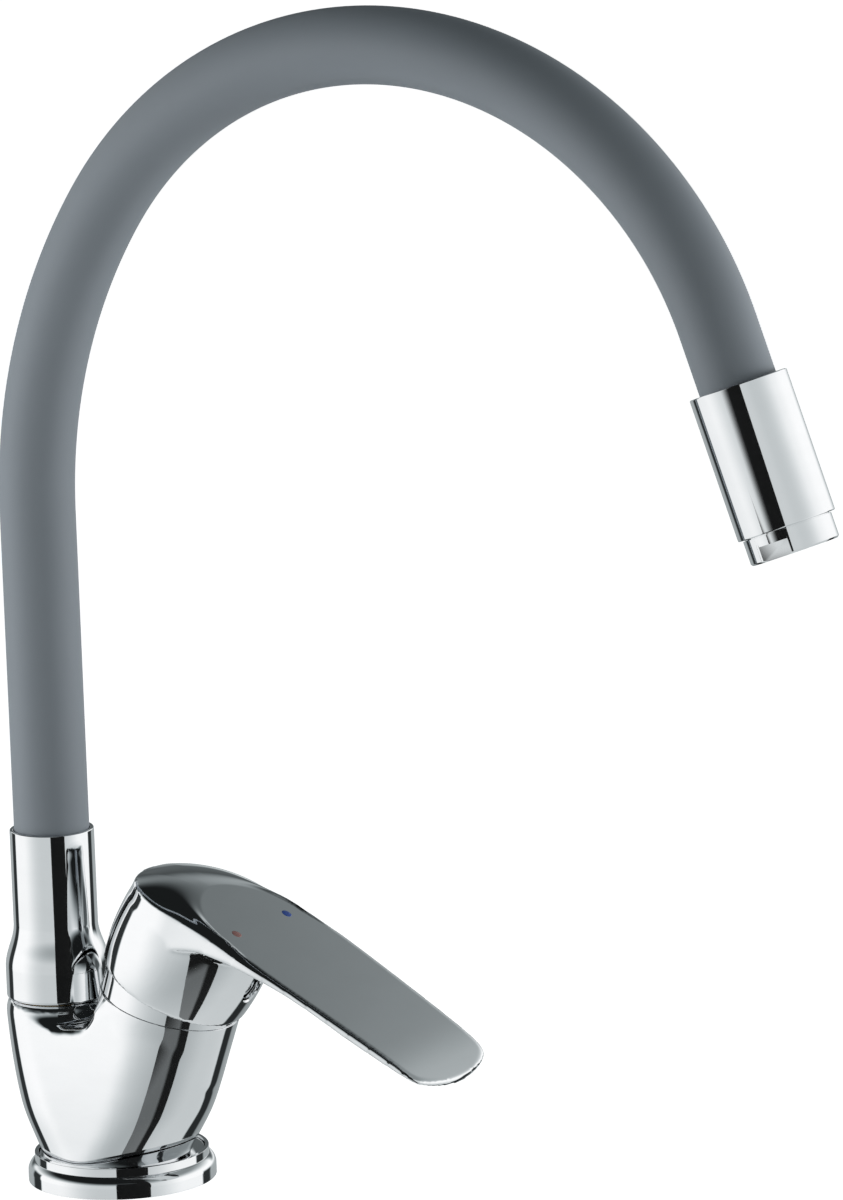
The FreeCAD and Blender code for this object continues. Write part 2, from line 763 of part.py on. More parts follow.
def body_cuts():
    above_rim = plain("Cylinder", "above_rim", Radius=S.base_dia / 2, Height=S.base_dia)
    along_axis(above_rim, as_size(0))
    bore = plain("Cylinder", "cartridge_bore", Radius=S.bore_dia / 2, Height=S.bore_depth)
    along_axis(bore, -S.bore_depth)
    thread = plain("Cylinder", "nut_thread", Radius=S.nut_dia / 2 + S.running_play, Height=-shoulder_top)
    along_axis(thread, shoulder_top)
    socket = plain(
        "Cylinder",
        "spout_socket",
        place=(S.collar_x, 0, socket_floor),
        Radius=S.socket_bore / 2,
        Height=S.seat_height,
    )
    seat = plain(
        "Cylinder",
        "spout_seat",
        place=(S.collar_x, 0, S.seat_height),
        Radius=S.seat_dia / 2,
        Height=S.saddle_radius,
    )
    stud = plain(
        "Cylinder",
        "stud_hole",
        place=(S.stud_x, 0, S.base_floor - S.rim_chamfer),
        Radius=S.stud_bore / 2,
        Height=S.stud_depth + S.rim_chamfer,
    )
    lock = plain(
        "Cylinder",
        "lock_hole",
        turn=90,
        place=(S.collar_x - S.base_dia / 2, 0, lock_height),
        Radius=S.lock_screw_dia / 2,
        Height=S.base_dia / 2,
    )
    mixed = plain(
        "Cylinder",
        "mixed_water_way",
        place=(mixed_x, 0, mixed_z),
        turn=angle_of(mixed_across, mixed_rise),
        Radius=S.water_bore / 2,
        Height=root(mixed_across * mixed_across + mixed_rise * mixed_rise),
    )
    cuts = [above_rim, bore, thread, socket, seat, stud, lock, mixed]
    for name, side in (("hot", -1), ("cold", 1)):
        y = S.inlet_spacing / 2 * side
        cuts.append(
            plain(
                "Cylinder",
                name + "_inlet",
                place=(S.inlet_x, y, S.base_floor - S.rim_chamfer),
                Radius=S.inlet_bore / 2,
                Height=S.inlet_depth + S.rim_chamfer,
            )
        )
        cuts.append(
            plain(
                "Cylinder",
                name + "_water_way",
                place=(S.inlet_x, y, S.base_floor),
                Radius=S.water_bore / 2,
                Height=port_rise,
            )
        )
    return cuts


# Heights in the cartridge, from the body's rim down
cartridge_floor = -S.bore_depth
base_low = cartridge_floor + S.seal_squeeze
base_top = base_low + S.cartridge_base_thick
fixed_top = base_top + S.fixed_disc_thick
moving_low = fixed_top + S.disc_film
moving_top = moving_low + S.moving_disc_thick
carrier_top = moving_top + S.carrier_thick
guide_low = carrier_top + S.flat_play
guide_shoulder = guide_low + S.guide_flange_thick
shoulder_top = guide_shoulder + S.shoulder_thick

# Water ways between the underside, the cartridge floor and the spout socket
floor_x = CARTRIDGE["x"] + cartridge_floor * sine(S.cartridge_lean_angle)
floor_z = CARTRIDGE["z"] + cartridge_floor * cosine(S.cartridge_lean_angle)
port_ahead = (S.inlet_x - floor_x) / cosine(S.cartridge_lean_angle)
port_rise = floor_z - port_ahead * sine(S.cartridge_lean_angle) - S.base_floor + S.water_bore / 4
mixed_x = floor_x - S.outlet_port_back * cosine(S.cartridge_lean_angle) + S.water_bore / 4
mixed_z = floor_z + S.outlet_port_back * sine(S.cartridge_lean_angle)
mixed_across = S.collar_x + S.socket_bore / 4 - mixed_x
mixed_rise = socket_floor - mixed_z
lock_height = lock_groove + S.lock_groove_width / 2

# Swivelling spout: spigot, seals, slide ring, lock screw and collar
spigot_radius = S.socket_bore / 2 - S.running_play
spigot_floor = socket_floor + S.seat_play
water_tube_radius = S.hose_dia / 2 - S.hose_wall - S.gooseneck_wall - 2 * S.tube_play
barb_radius = water_tube_radius - S.water_tube_wall - S.barb_play


def slide_ring():
    outline = block(spigot_radius + S.seat_play, S.slide_ring_dia / 2, S.seat_height, flange_low)
    return piece("swivel_slide_ring", turned("swivel_slide_ring", outline), SPOUT)


def spout_spigot():
    bottom = spigot_radius - S.groove_depth
    bore = S.spigot_bore / 2
    neck = S.spigot_neck_dia / 2
    outline = [(bore, spigot_floor), (spigot_radius, spigot_floor)]
    for low, width in (
        (low_groove, S.ring_groove_width),
        (high_groove, S.ring_groove_width),
        (lock_groove, S.lock_groove_width),
    ):
        outline += [(spigot_radius, low), (bottom, low), (bottom, low + width), (spigot_radius, low + width)]
    outline += [
        (spigot_radius, flange_low),
        (S.spigot_flange_dia / 2, flange_low),
        (S.spigot_flange_dia / 2, flange_top),
        (neck, flange_top),
        (neck, spigot_top),
        (barb_radius, spigot_top),
        (barb_radius, spigot_top + S.barb_length - S.rim_chamfer),
        (barb_radius - S.rim_chamfer, spigot_top + S.barb_length),
        (bore - S.rim_chamfer, spigot_top + S.barb_length),
        (bore - S.rim_chamfer, spigot_top),
        (bore, spigot_top),
    ]
    return piece("spout_spigot", turned("spout_spigot", outline), SPOUT)


def spigot_o_rings():
    inner = spigot_radius - S.groove_depth + S.running_play / 2
    outer = S.socket_bore / 2 - S.running_play / 2
    loops = []
    for low in (low_groove, high_groove):
        loops.append(
            block(inner, outer, low + S.running_play, low + S.ring_groove_width - S.running_play)
        )
    return piece("spigot_o_rings", turned("spigot_o_rings", *loops), SPOUT)


def spout_lock_screw():
    """A grub screw in the back of the body; its own Z axis points at the spigot."""
    tip = S.lock_tip_dia / 2
    outer = S.lock_screw_dia / 2 - S.running_play
    screw = turned(
        "spout_lock_screw",
        [
            (0, 0),
            (tip, 0),
            (tip, S.lock_bite),
            (outer, S.lock_bite + S.rim_chamfer),
            (outer, S.lock_screw_length),
            (0, S.lock_screw_length),
        ],
    )
    hex_socket(screw, "lock_hex", S.lock_tip_dia * 0.7, S.lock_screw_length)
    tip_x = S.collar_x - spigot_radius + S.lock_bite
    return piece("spout_lock_screw", screw, dict(x=tip_x, z=lock_height, turn=-90))


def hex_socket(screw, name, corners, top):
    """A hexagon socket in the end of a screw, half as deep as the screw is long."""
    primitive(
        screw,
        "SubtractivePrism",
        name,
        place=(0, 0, top / 2),
        Circumradius=corners / 2,
        Height=top,
    )


def spout_collar():
    wide = S.collar_wide_dia / 2
    slim = S.collar_dia / 2
    bore = S.hose_dia / 2 + S.tube_play
    middle_r = (wide + slim) / 2
    middle_z = (flare_low + flare_high) / 2
    half_r = (wide - slim) / 2
    half_z = (flare_high - flare_low) / 2
    flare = (half_r * half_r + half_z * half_z) / (2 * half_r)
    recess = S.spigot_flange_dia / 2 + S.running_play
    outline = [
        (recess, collar_foot),
        (S.collar_foot_dia / 2, collar_foot, -S.collar_edge_height * 1.2),
        (wide, collar_foot + S.collar_edge_height),
        (wide, flare_low, -flare),
        (middle_r, middle_z, flare),
        (slim, flare_high),
        (slim, collar_top - S.rim_chamfer),
        (slim - S.rim_chamfer, collar_top),
        (bore, collar_top),
        (bore, flange_top),
        (recess, flange_top),
    ]
    return piece("spout_collar", turned("spout_collar", outline), SPOUT)


# Flexible spout: three tubes, one in the other, along straight runs and tangent arcs


def arc_through(start, direction, radius, turn):
    """An arc that bends forward and down from a start and a direction, both in the middle plane."""
    centre = start + vector(direction.z, 0, -direction.x) * radius
    half = FreeCAD.Rotation(vector(0, 1, 0), turn / 2)
    whole = FreeCAD.Rotation(vector(0, 1, 0), turn)
    spoke = start - centre
    edge = Part.Arc(start, centre + half.multVec(spoke), centre + whole.multVec(spoke)).toShape()
    return edge, centre + whole.multVec(spoke), whole.multVec(direction)


def spout_path(low, tail):
    """Edges of the spout's middle line, from a height in the collar to a length past the last bend."""
    point = vector(S.collar_x.value, 0, low)
    top = vector(S.collar_x.value, 0, S.rise_top.value)
    direction = vector(0, 0, 1)
    edges = [Part.LineSegment(point, top).toShape()]
    first_turn = S.first_bend_angle.value
    edge, point, direction = arc_through(top, direction, S.first_bend_radius.value, first_turn)
    edges.append(edge)
    second_turn = bend_end.value - first_turn
    edge, point, direction = arc_through(point, direction, S.second_bend_radius.value, second_turn)
    edges.append(edge)
    edges.append(Part.LineSegment(point, point + direction * tail).toShape())
    return Part.Wire(edges)


def spout_tube(label, outer, wall):
    """A tube along the spout, whose volume is compared with its section times its length."""
    gap = S.tube_play.value
    path = spout_path(spigot_top.value + gap, S.hose_tail.value + S.hose_insert.value - gap)
    start = path.Edges[0].firstVertex().Point

    def swept(radius):
        ring = Part.Wire([Part.makeCircle(radius, start, vector(0, 0, 1))])
        return path.makePipeShell([ring], True, False)

    solid = swept(outer).cut(swept(outer - wall))
    expected = math.pi * (outer**2 - (outer - wall) ** 2) * path.Length
    if abs(solid.Volume / expected - 1) > 1e-3:
        raise RuntimeError("%s is not a plain tube" % label)
    print("%s: %.1f mm long" % (label, path.Length))
    tube = doc.addObject("Part::Feature", label)
    tube.Shape = solid
    return piece(label, tube, DECK)


def spout_tubes():
    outer = S.hose_dia.value / 2
    for label, wall in (
        ("spout_hose", S.hose_wall.value),
        ("spout_gooseneck", S.gooseneck_wall.value),
        ("water_tube", S.water_tube_wall.value),
    ):
        spout_tube(label, outer, wall)
        outer -= wall + S.tube_play.value


# Outlet: heights run down from the mouth of the sleeve
sleeve_end = -S.sleeve_length
nipple_top = -S.hose_insert
nipple_low = nipple_top - S.nipple_flange_thick
washer_low = nipple_low - S.washer_thick
head_top = sleeve_end - S.aerator_seam
head_low = head_top - S.aerator_head
thread_radius = S.outlet_thread_dia / 2
lip_top = head_low + S.aerator_lip


def outlet_sleeve():
    outer = S.sleeve_dia / 2
    mouth = S.hose_dia / 2 + S.tube_play
    outline = [
        (thread_radius, sleeve_end),
        (outer - S.rim_chamfer, sleeve_end),
        (outer, sleeve_end + S.rim_chamfer),
        (outer, -S.rim_chamfer),
        (outer - S.rim_chamfer, 0),
        (mouth, 0),
        (mouth, nipple_top),
        (thread_radius, nipple_top),
    ]
    return piece("outlet_sleeve", turned("outlet_sleeve", outline), OUTLET)


def outlet_nipple():
    bore = barb_radius - S.water_tube_wall
    barb_end = nipple_top + S.barb_length
    outline = [
        (bore, nipple_low),
        (thread_radius - S.running_play, nipple_low),
        (thread_radius - S.running_play, nipple_top),
        (barb_radius, nipple_top),
        (barb_radius, barb_end - S.rim_chamfer),
        (barb_radius - S.rim_chamfer, barb_end),
        (bore, barb_end),
    ]
    return piece("outlet_nipple", turned("outlet_nipple", outline), OUTLET)


def aerator_washer():
    outline = block(S.washer_hole_dia / 2, thread_radius - S.seat_play, washer_low, nipple_low)
    return piece("aerator_washer", turned("aerator_washer", outline), OUTLET)


def aerator_housing():
    outer = S.aerator_dia / 2
    bore = S.aerator_bore / 2
    mouth = S.aerator_mouth / 2
    housing = turned(
        "aerator_housing",
        [
            (mouth, head_low),
            (outer - S.rim_chamfer, head_low),
            (outer, head_low + S.rim_chamfer),
            (outer, head_top),
            (thread_radius - S.running_play, head_top),
            (thread_radius - S.running_play, washer_low),
            (bore, washer_low),
            (bore, lip_top),
            (mouth, lip_top),
        ],
    )
    for name, side in (("near", -1), ("far", 1)):
        y = side * (S.aerator_dia - S.flat_depth) - S.aerator_dia / 2
        primitive(
            housing,
            "SubtractiveBox",
            name + "_flat",
            place=(-S.aerator_dia / 2, y, head_low - S.rim_chamfer),
            Length=S.aerator_dia,
            Width=S.aerator_dia,
            Height=S.flat_height + S.rim_chamfer,
        )
    return piece("aerator_housing", housing, OUTLET)


def padded(name, low, high, draw):
    """A body raised from a level sketch between two heights."""
    body = doc.addObject("PartDesign::Body", name)
    sketch = sketch_in(body, name + "_outline", "XY_Plane", z=low)
    draw(sketch)
    pad = body.newObject("PartDesign::Pad", name + "_pad")
    pad.Profile = sketch
    bind(pad, Length=high - low)
    doc.recompute()
    return body


def aerator_screen():
    def draw(sketch):
        draw_circle(sketch, 0, 0, S.aerator_bore / 2 - S.running_play)
        for column, row in screen_cells(2):
            draw_circle(
                sketch,
                S.screen_pitch * (column + row / 2),
                S.screen_pitch * (row * math.sqrt(3) / 2),
                S.screen_hole / 2,
            )

    screen = padded("aerator_screen", lip_top, lip_top + S.screen_thick, draw)
    return piece("aerator_screen", screen, OUTLET)


def screen_cells(rings):
    """Cells of a hexagonal grid round the middle one."""
    cells = []
    for column in range(-rings, rings + 1):
        for row in range(-rings, rings + 1):
            if abs(column + row) <= rings:
                cells.append((column, row))
    return cells


def aerator_insert():
    low = lip_top + S.screen_thick
    jets = 8

    def draw(sketch):
        draw_circle(sketch, 0, 0, S.aerator_bore / 2 - S.running_play)
        for jet in range(jets):
            angle = 360 * jet / jets
            draw_circle(
                sketch,
                S.insert_hole_circle / 2 * cosine(angle),
                S.insert_hole_circle / 2 * sine(angle),
                S.insert_hole / 2,
            )

    return piece("aerator_insert", padded("aerator_insert", low, washer_low, draw), OUTLET)


# Cartridge, along its own leaning axis from the body's rim
cartridge_inner = S.cartridge_dia / 2 - S.cartridge_wall
disc_start = -S.stem_arm * sine(S.lever_rest_angle)


def ports():
    """Centres of the hot, cold and mixed water ports on the cartridge axis."""
    side = S.inlet_spacing / 2
    return (
        ("hot", port_ahead, -side),
        ("cold", port_ahead, side),
        ("mixed", -S.outlet_port_back, as_size(0)),
    )


def cartridge_seals():
    rings = []
    for name, x, y in ports():
        ring = doc.addObject("PartDesign::Body", name + "_seal")
        sketch = sketch_in(ring, name + "_seal_outline", "XY_Plane", z=cartridge_floor)
        draw_circle(sketch, x, y, S.seal_ring_dia / 2 - S.running_play)
        draw_circle(sketch, x, y, S.port_dia / 2)
        pad = ring.newObject("PartDesign::Pad", name + "_seal_pad")
        pad.Profile = sketch
        bind(pad, Length=S.seal_ring_thick)
        rings.append(ring)
    group = doc.addObject("Part::Compound", "cartridge_seals")
    group.Links = rings
    return piece("cartridge_seals", group, CARTRIDGE)


def cartridge_base():
    lip = S.cartridge_dia / 2
    inner = cartridge_inner - S.running_play
    lip_height = base_low + S.base_lip_thick
    base = turned(
        "cartridge_base",
        [
            (0, base_low),
            (lip, base_low),
            (lip, lip_height),
            (inner, lip_height),
            (inner, base_top),
            (0, base_top),
        ],
    )
    for name, x, y in ports():
        drill(base, name + "_base_port", S.port_dia, base_low - S.rim_chamfer, base_top + S.rim_chamfer, x, y)
        drill(
            base,
            name + "_seal_seat",
            S.seal_ring_dia,
            base_low - S.rim_chamfer,
            cartridge_floor + S.seal_ring_thick,
            x,
            y,
        )
    return piece("cartridge_base", base, CARTRIDGE)


def fixed_ceramic_disc():
    disc = turned("fixed_ceramic_disc", block(0, S.fixed_disc_dia / 2, base_top, fixed_top))
    for name, x, y in ports():
        low = base_top - S.rim_chamfer
        drill(disc, name + "_disc_port", S.port_dia, low, fixed_top + S.rim_chamfer, x, y)
    return piece("fixed_ceramic_disc", disc, CARTRIDGE)


def sliding_frame():
    """The cartridge frame, moved back to where the closed lever holds the moving disc."""
    return dict(
        x=CARTRIDGE["x"] + disc_start * cosine(S.cartridge_lean_angle),
        z=CARTRIDGE["z"] - disc_start * sine(S.cartridge_lean_angle),
        turn=S.cartridge_lean_angle,
    )


def moving_ceramic_disc():
    disc = turned("moving_ceramic_disc", block(0, S.moving_disc_dia / 2, moving_low, moving_top))
    drill(
        disc,
        "mixing_chamber",
        S.chamber_dia,
        moving_low - S.rim_chamfer,
        moving_low + S.chamber_depth,
    )
    return piece("moving_ceramic_disc", disc, sliding_frame())


def disc_carrier():
    carrier = turned("disc_carrier", block(0, S.moving_disc_dia / 2, moving_top, carrier_top))
    deepest = S.pivot_lift - S.stem_arm - S.stem_dia / 2 - S.flat_play
    drill(carrier, "ball_pocket", S.stem_dia + 2 * S.ball_play, deepest, carrier_top + S.rim_chamfer)
    return piece("disc_carrier", carrier, sliding_frame())


def cartridge_housing():
    outer = S.cartridge_dia / 2
    bore = S.guide_dia / 2 + S.running_play
    neck = bore + S.neck_wall
    outline = [
        (cartridge_inner, base_low + S.base_lip_thick),
        (outer, base_low + S.base_lip_thick),
        (outer, shoulder_top),
        (neck, shoulder_top),
        (neck, S.neck_top),
        (bore, S.neck_top),
        (bore, guide_shoulder),
        (cartridge_inner, guide_shoulder),
    ]
    return piece("cartridge_housing", turned("cartridge_housing", outline), CARTRIDGE)


def stem_guide():
    radius = S.guide_dia / 2
    guide = turned(
        "stem_guide",
        [
            (0, guide_low),
            (S.guide_flange_dia / 2, guide_low),
            (S.guide_flange_dia / 2, guide_shoulder),
            (radius, guide_shoulder),
            (radius, S.guide_top),
            (0, S.guide_top),
        ],
    )
    primitive(
        guide,
        "SubtractiveBox",
        "stem_slot",
        place=(-S.slot_length / 2, -S.slot_width / 2, guide_low - S.rim_chamfer),
        Length=S.slot_length,
        Width=S.slot_width,
        Height=S.guide_top - guide_low + 2 * S.rim_chamfer,
    )
    primitive(
        guide,
        "SubtractiveCylinder",
        "pin_hole",
        turn=90,
        axis=(1, 0, 0),
        place=(0, S.guide_dia, S.pivot_lift),
        Radius=S.pin_dia / 2 + S.running_play,
        Height=2 * S.guide_dia,
    )
    return piece("stem_guide", guide, CARTRIDGE)


def pivot_pin():
    pin = doc.addObject("Part::Cylinder", "pivot_pin")
    bind(pin, Radius=S.pin_dia / 2, Height=S.pin_length)
    frame = dict(x=S.pivot_x, y=S.pin_length / 2, z=S.pivot_height, axis=(1, 0, 0), turn=90)
    return piece("pivot_pin", pin, frame)


def cartridge_nut():
    outline = block(S.nut_hole_dia / 2, S.nut_dia / 2, shoulder_top, S.nut_top)
    nut = turned("cartridge_nut", outline)
    for name, x in (("front", 1), ("rear", -1)):
        middle = (S.nut_hole_dia + S.nut_dia) / 4
        low = S.nut_top - S.chamber_depth
        drill(nut, name + "_key_hole", S.pin_dia, low, S.nut_top + S.rim_chamfer, middle * x)
    return piece("cartridge_nut", nut, CARTRIDGE)


def cartridge_cover():
    """A chrome ring on the body's rim, rounded about the lever's pivot."""
    outer = S.cover_dia / 2
    inner = outer - S.cover_wall
    foot = S.nut_dia / 2 + S.running_play
    mouth = S.cover_opening_dia / 2
    top_outer = S.pivot_lift + root(outer * outer - mouth * mouth)
    top_inner = S.pivot_lift + root(inner * inner - mouth * mouth)
    outline = [
        (foot, 0),
        (outer, 0),
        (outer, S.pivot_lift, -outer),
        (mouth, top_outer),
        (mouth, top_inner, inner),
        (inner, S.pivot_lift),
        (inner, S.nut_top),
        (foot, S.nut_top),
    ]
    return piece("cartridge_cover", turned("cartridge_cover", outline), CARTRIDGE)


# Lever and its stem, along the leaning lever axis from the pivot


def cartridge_stem():
    half = S.shank_side / 2
    radius = S.stem_dia / 2
    stem = turned(
        "cartridge_stem",
        [(0, -S.stem_arm - radius, -radius), (radius, -S.stem_arm), (radius, S.shank_low), (0, S.shank_low)],
    )
    primitive(
        stem,
        "AdditiveCylinder",
        "pivot_boss",
        turn=90,
        axis=(1, 0, 0),
        place=(0, S.stem_boss_width / 2, 0),
        Radius=S.stem_boss_dia / 2,
        Height=S.stem_boss_width,
    )
    primitive(
        stem,
        "AdditiveBox",
        "shank",
        place=(-half, -half, S.shank_low - S.rim_chamfer),
        Length=S.shank_side,
        Width=S.shank_side,
        Height=S.shank_high - S.shank_low + S.rim_chamfer,
    )
    primitive(
        stem,
        "SubtractiveCylinder",
        "stem_pin_hole",
        turn=90,
        axis=(1, 0, 0),
        place=(0, S.stem_boss_width, 0),
        Radius=S.pin_dia / 2 + S.running_play,
        Height=2 * S.stem_boss_width,
    )
    return piece("cartridge_stem", stem, LEVER)


def crown_section(name, reach, underside, belly, crown, shoulder_drop, edge_drop):
    """A cross section of the crown block: a belly below, a bowed top with rounded shoulders."""
    sketch = doc.addObject("Sketcher::SketchObject", name)
    upright = FreeCAD.Rotation(vector(0, 1, 0), vector(0, 0, 1), vector(1, 0, 0))
    sketch.Placement = FreeCAD.Placement(vector(reach.value, 0, 0), upright)
    sketch.setExpression("Placement.Base.x", reach.formula)
    half = S.crown_half
    inner = S.crown_shoulder
    shoulder = crown - shoulder_drop
    across = half - inner
    slope = 2 * shoulder_drop / inner
    top_radius = (inner * inner + shoulder_drop * shoulder_drop) / (2 * shoulder_drop)
    side_radius = (across * across + edge_drop * edge_drop) / (2 * (edge_drop - across * slope))
    belly_radius = (half * half + belly * belly) / (2 * belly)
    draw_loop(
        sketch,
        [
            (-half, underside + belly, -belly_radius),
            (0, underside, -belly_radius),
            (half, underside + belly),
            (half, shoulder - edge_drop, -side_radius),
            (inner, shoulder, -top_radius),
            (0, crown, -top_radius),
            (-inner, shoulder, -side_radius),
            (-half, shoulder - edge_drop),
        ],
    )
    return sketch


def crown_block():
    rear = (S.rear_underside, S.rear_belly)
    blade = (S.blade_crown, S.blade_shoulder_drop, S.blade_edge_drop)
    sections = [
        crown_section(
            "rear_crown_section",
            -S.crown_dia / 2 - S.rim_chamfer,
            *rear,
            S.rear_crown,
            S.rear_shoulder_drop,
            S.rear_edge_drop,
        ),
        crown_section(
            "back_crown_section",
            -S.back_reach,
            *rear,
            S.back_crown,
            S.back_shoulder_drop,
            S.back_edge_drop,
        ),
        crown_section(
            "front_crown_section",
            S.front_reach,
            S.front_underside,
            S.front_belly,
            S.front_crown,
            S.front_shoulder_drop,
            S.front_edge_drop,
        ),
        crown_section("root_section", S.root_reach, S.blade_underside, S.blade_belly, *blade),
        crown_section(
            "blade_section",
            (S.root_reach + S.lever_reach) / 2,
            (S.blade_underside + S.tip_underside) / 2,
            (S.blade_belly + S.tip_belly) / 2,
            *blade,
        ),
        crown_section("tip_section", S.lever_reach + S.rim_chamfer, S.tip_underside, S.tip_belly, *blade),
    ]
    block_loft = doc.addObject("Part::Loft", "crown_block")
    block_loft.Sections = sections
    block_loft.Solid = True
    block_loft.Ruled = False
    return block_loft


def lever_plan():
    """The lever seen from above: round dome, flare, straight sides and a rounded tip."""
    dome = S.crown_dia / 2
    flare = S.flare_width / 2
    tip = S.tip_width / 2
    end = S.tip_end_width / 2
    flare_radius = S.lever_reach
    corner_start = S.lever_reach - S.tip_length
    corner_radius = S.tip_length * 0.75
    end_start = S.lever_reach - S.tip_bow
    end_radius = (end * end + S.tip_bow * S.tip_bow) / (2 * S.tip_bow)
    sketch = doc.addObject("Sketcher::SketchObject", "lever_plan")
    draw_loop(
        sketch,
        [
            (-dome, 0, -dome),
            (0, -dome, flare_radius),
            (S.flare_reach, -flare),
            (corner_start, -tip, -corner_radius),
            (end_start, -end, -end_radius),
            (end_start, end, -corner_radius),
            (corner_start, tip),
            (S.flare_reach, flare, flare_radius),
            (0, dome, -dome),
        ],
    )
    plan = doc.addObject("Part::Extrusion", "lever_plan_block")
    plan.Base = sketch
    plan.DirMode = "Custom"
    plan.Dir = vector(0, 0, 1)
    plan.Solid = True
    bind(plan, LengthFwd=S.face_height)
    return plan


def lever_dome():
    """The round part under the crown, with sides that bulge a little."""
    rim = S.dome_dia / 2
    half = S.dome_side / 2
    side = (half * half + S.dome_swell * S.dome_swell) / (2 * S.dome_swell)
    return turned(
        "lever_dome",
        [
            (0, 0),
            (rim, 0, -side),
            (S.crown_dia / 2, S.dome_side),
            (S.dome_top_dia / 2, S.dome_top),
            (0, S.dome_top),
        ],
    )


def lever():
    plan = lever_plan()
    top = boolean("Common", "lever_top", plan, crown_block())
    outside = boolean("Fuse", "lever_outside", top, lever_dome())
    cavity = plain("Sphere", "dome_cavity", Radius=S.dome_cavity)
    shell = boolean("Cut", "lever_shell", outside, cavity)
    hub = plain(
        "Cylinder",
        "lever_hub",
        place=(0, 0, S.hub_low),
        Radius=S.hub_dia / 2,
        Height=S.shank_high - S.hub_low,
    )
    blank = boolean("Fuse", "lever_blank", shell, hub)
    half = S.shank_side / 2 + S.running_play
    socket = plain(
        "Box",
        "shank_socket",
        place=(-half, -half, 0),
        Length=2 * half,
        Width=2 * half,
        Height=S.shank_high + S.seat_play,
    )
    screw_way = plain(
        "Cylinder",
        "screw_way",
        turn=90,
        place=(0, 0, S.screw_height),
        Radius=S.clamp_screw_dia / 2 + S.running_play,
        Height=S.dome_dia / 2,
    )
    plug_way = plain(
        "Cylinder",
        "plug_way",
        turn=90,
        place=(S.hub_dia / 2, 0, S.screw_height),
        Radius=S.plug_dia / 2,
        Height=S.dome_dia,
    )
    cuts = [socket, screw_way, plug_way]
    for name, side in (("hot", -1), ("cold", 1)):
        cuts.append(
            plain(
                "Cylinder",
                name + "_mark_seat",
                place=(S.mark_reach, S.mark_spacing / 2 * side, S.face_height - S.mark_depth),
                Radius=S.mark_dia / 2 + S.running_play,
                Height=S.mark_depth * 2,
            )
        )
    tools = doc.addObject("Part::MultiFuse", "lever_cuts")
    tools.Shapes = cuts
    return piece("lever", boolean("Cut", "lever", blank, tools), LEVER)


def on_lever(reach, side, height):
    """The lever frame, moved along its face."""
    return dict(
        x=S.pivot_x + reach * cosine(lever_lean) + height * sine(lever_lean),
        y=side,
        z=S.pivot_height - reach * sine(lever_lean) + height * cosine(lever_lean),
        turn=lever_lean,
    )


def marks():
    for label, side in (("hot_mark", -1), ("cold_mark", 1)):
        mark = turned(label, block(0, S.mark_dia / 2, -S.mark_depth, 0))
        piece(label, mark, on_lever(S.mark_reach, S.mark_spacing / 2 * side, S.face_height))


def lever_clamp_screw():
    """A grub screw in the hub; its own Z axis points out of the dome's front."""
    start = S.shank_side / 2 + S.running_play
    length = S.hub_dia / 2 - start
    screw = turned("lever_clamp_screw", block(0, S.clamp_screw_dia / 2, 0, length))
    hex_socket(screw, "clamp_hex", S.clamp_hex, length)
    frame = on_lever(start, 0, S.screw_height)
    frame["turn"] = lever_lean + 90
    return piece("lever_clamp_screw", screw, frame)


def screw_plug():
    outer = S.plug_dia / 2 - S.running_play
    hole = S.plug_hole / 2
    ring = outer * 0.62
    groove = S.plug_hole / 3
    top = S.plug_length
    plug = turned(
        "screw_plug",
        [
            (0, 0),
            (outer, 0),
            (outer, top),
            (ring + groove, top),
            (ring, top - groove),
            (ring - groove, top),
            (hole, top),
            (hole, top / 2),
            (0, top / 2),
        ],
    )
    start = (S.dome_dia + S.crown_dia) / 4 + S.dome_swell - S.plug_recess - S.plug_length
    frame = on_lever(start, 0, S.screw_height)
    frame["turn"] = lever_lean + 90
    return piece("screw_plug", plug, frame)


def build():
    base_ring()
    base_seal()
    mixer_body()
    slide_ring()
    spout_spigot()
    spigot_o_rings()
    spout_lock_screw()
    spout_collar()
    spout_tubes()
    outlet_sleeve()
    outlet_nipple()
    aerator_washer()
    aerator_housing()
    aerator_insert()
    aerator_screen()
    cartridge_seals()
    cartridge_base()
    fixed_ceramic_disc()
    moving_ceramic_disc()
    disc_carrier()
    cartridge_housing()
    stem_guide()
    pivot_pin()
    cartridge_nut()
    cartridge_cover()
    cartridge_stem()
    lever()
    marks()
    lever_clamp_screw()
    screw_plug()
    doc.recompute()


# Sub-parts that are a set of like rings
SEVERAL = {"spigot_o_rings": 2, "cartridge_seals": 3}


def check():
    """Stop if an object failed or a sub-part has no sound solid."""
    for thing in doc.Objects:
        if "Invalid" in thing.State or "Error" in thing.State:
            raise RuntimeError("%s failed: %s" % (thing.Name, thing.State))
    for thing in pieces:
        shape = thing.Shape
        if shape.isNull() or not shape.isValid() or not shape.Solids:
            raise RuntimeError("%s has no sound solid" % thing.Label)
        if len(shape.Solids) != SEVERAL.get(thing.Label, 1):
            raise RuntimeError("%s falls into %d solids" % (thing.Label, len(shape.Solids)))


def write():
    os.makedirs("parts", exist_ok=True)
    for thing in pieces:
        thing.Shape.exportStep("parts/%s.step" % thing.Label)
    print("%d sub-parts" % len(pieces))


build()
check()
write()
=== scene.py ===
import math
from contextlib import contextmanager

import bmesh
import bpy
from bpy.props import FloatProperty, FloatVectorProperty, PointerProperty
from mathutils import Matrix, Vector


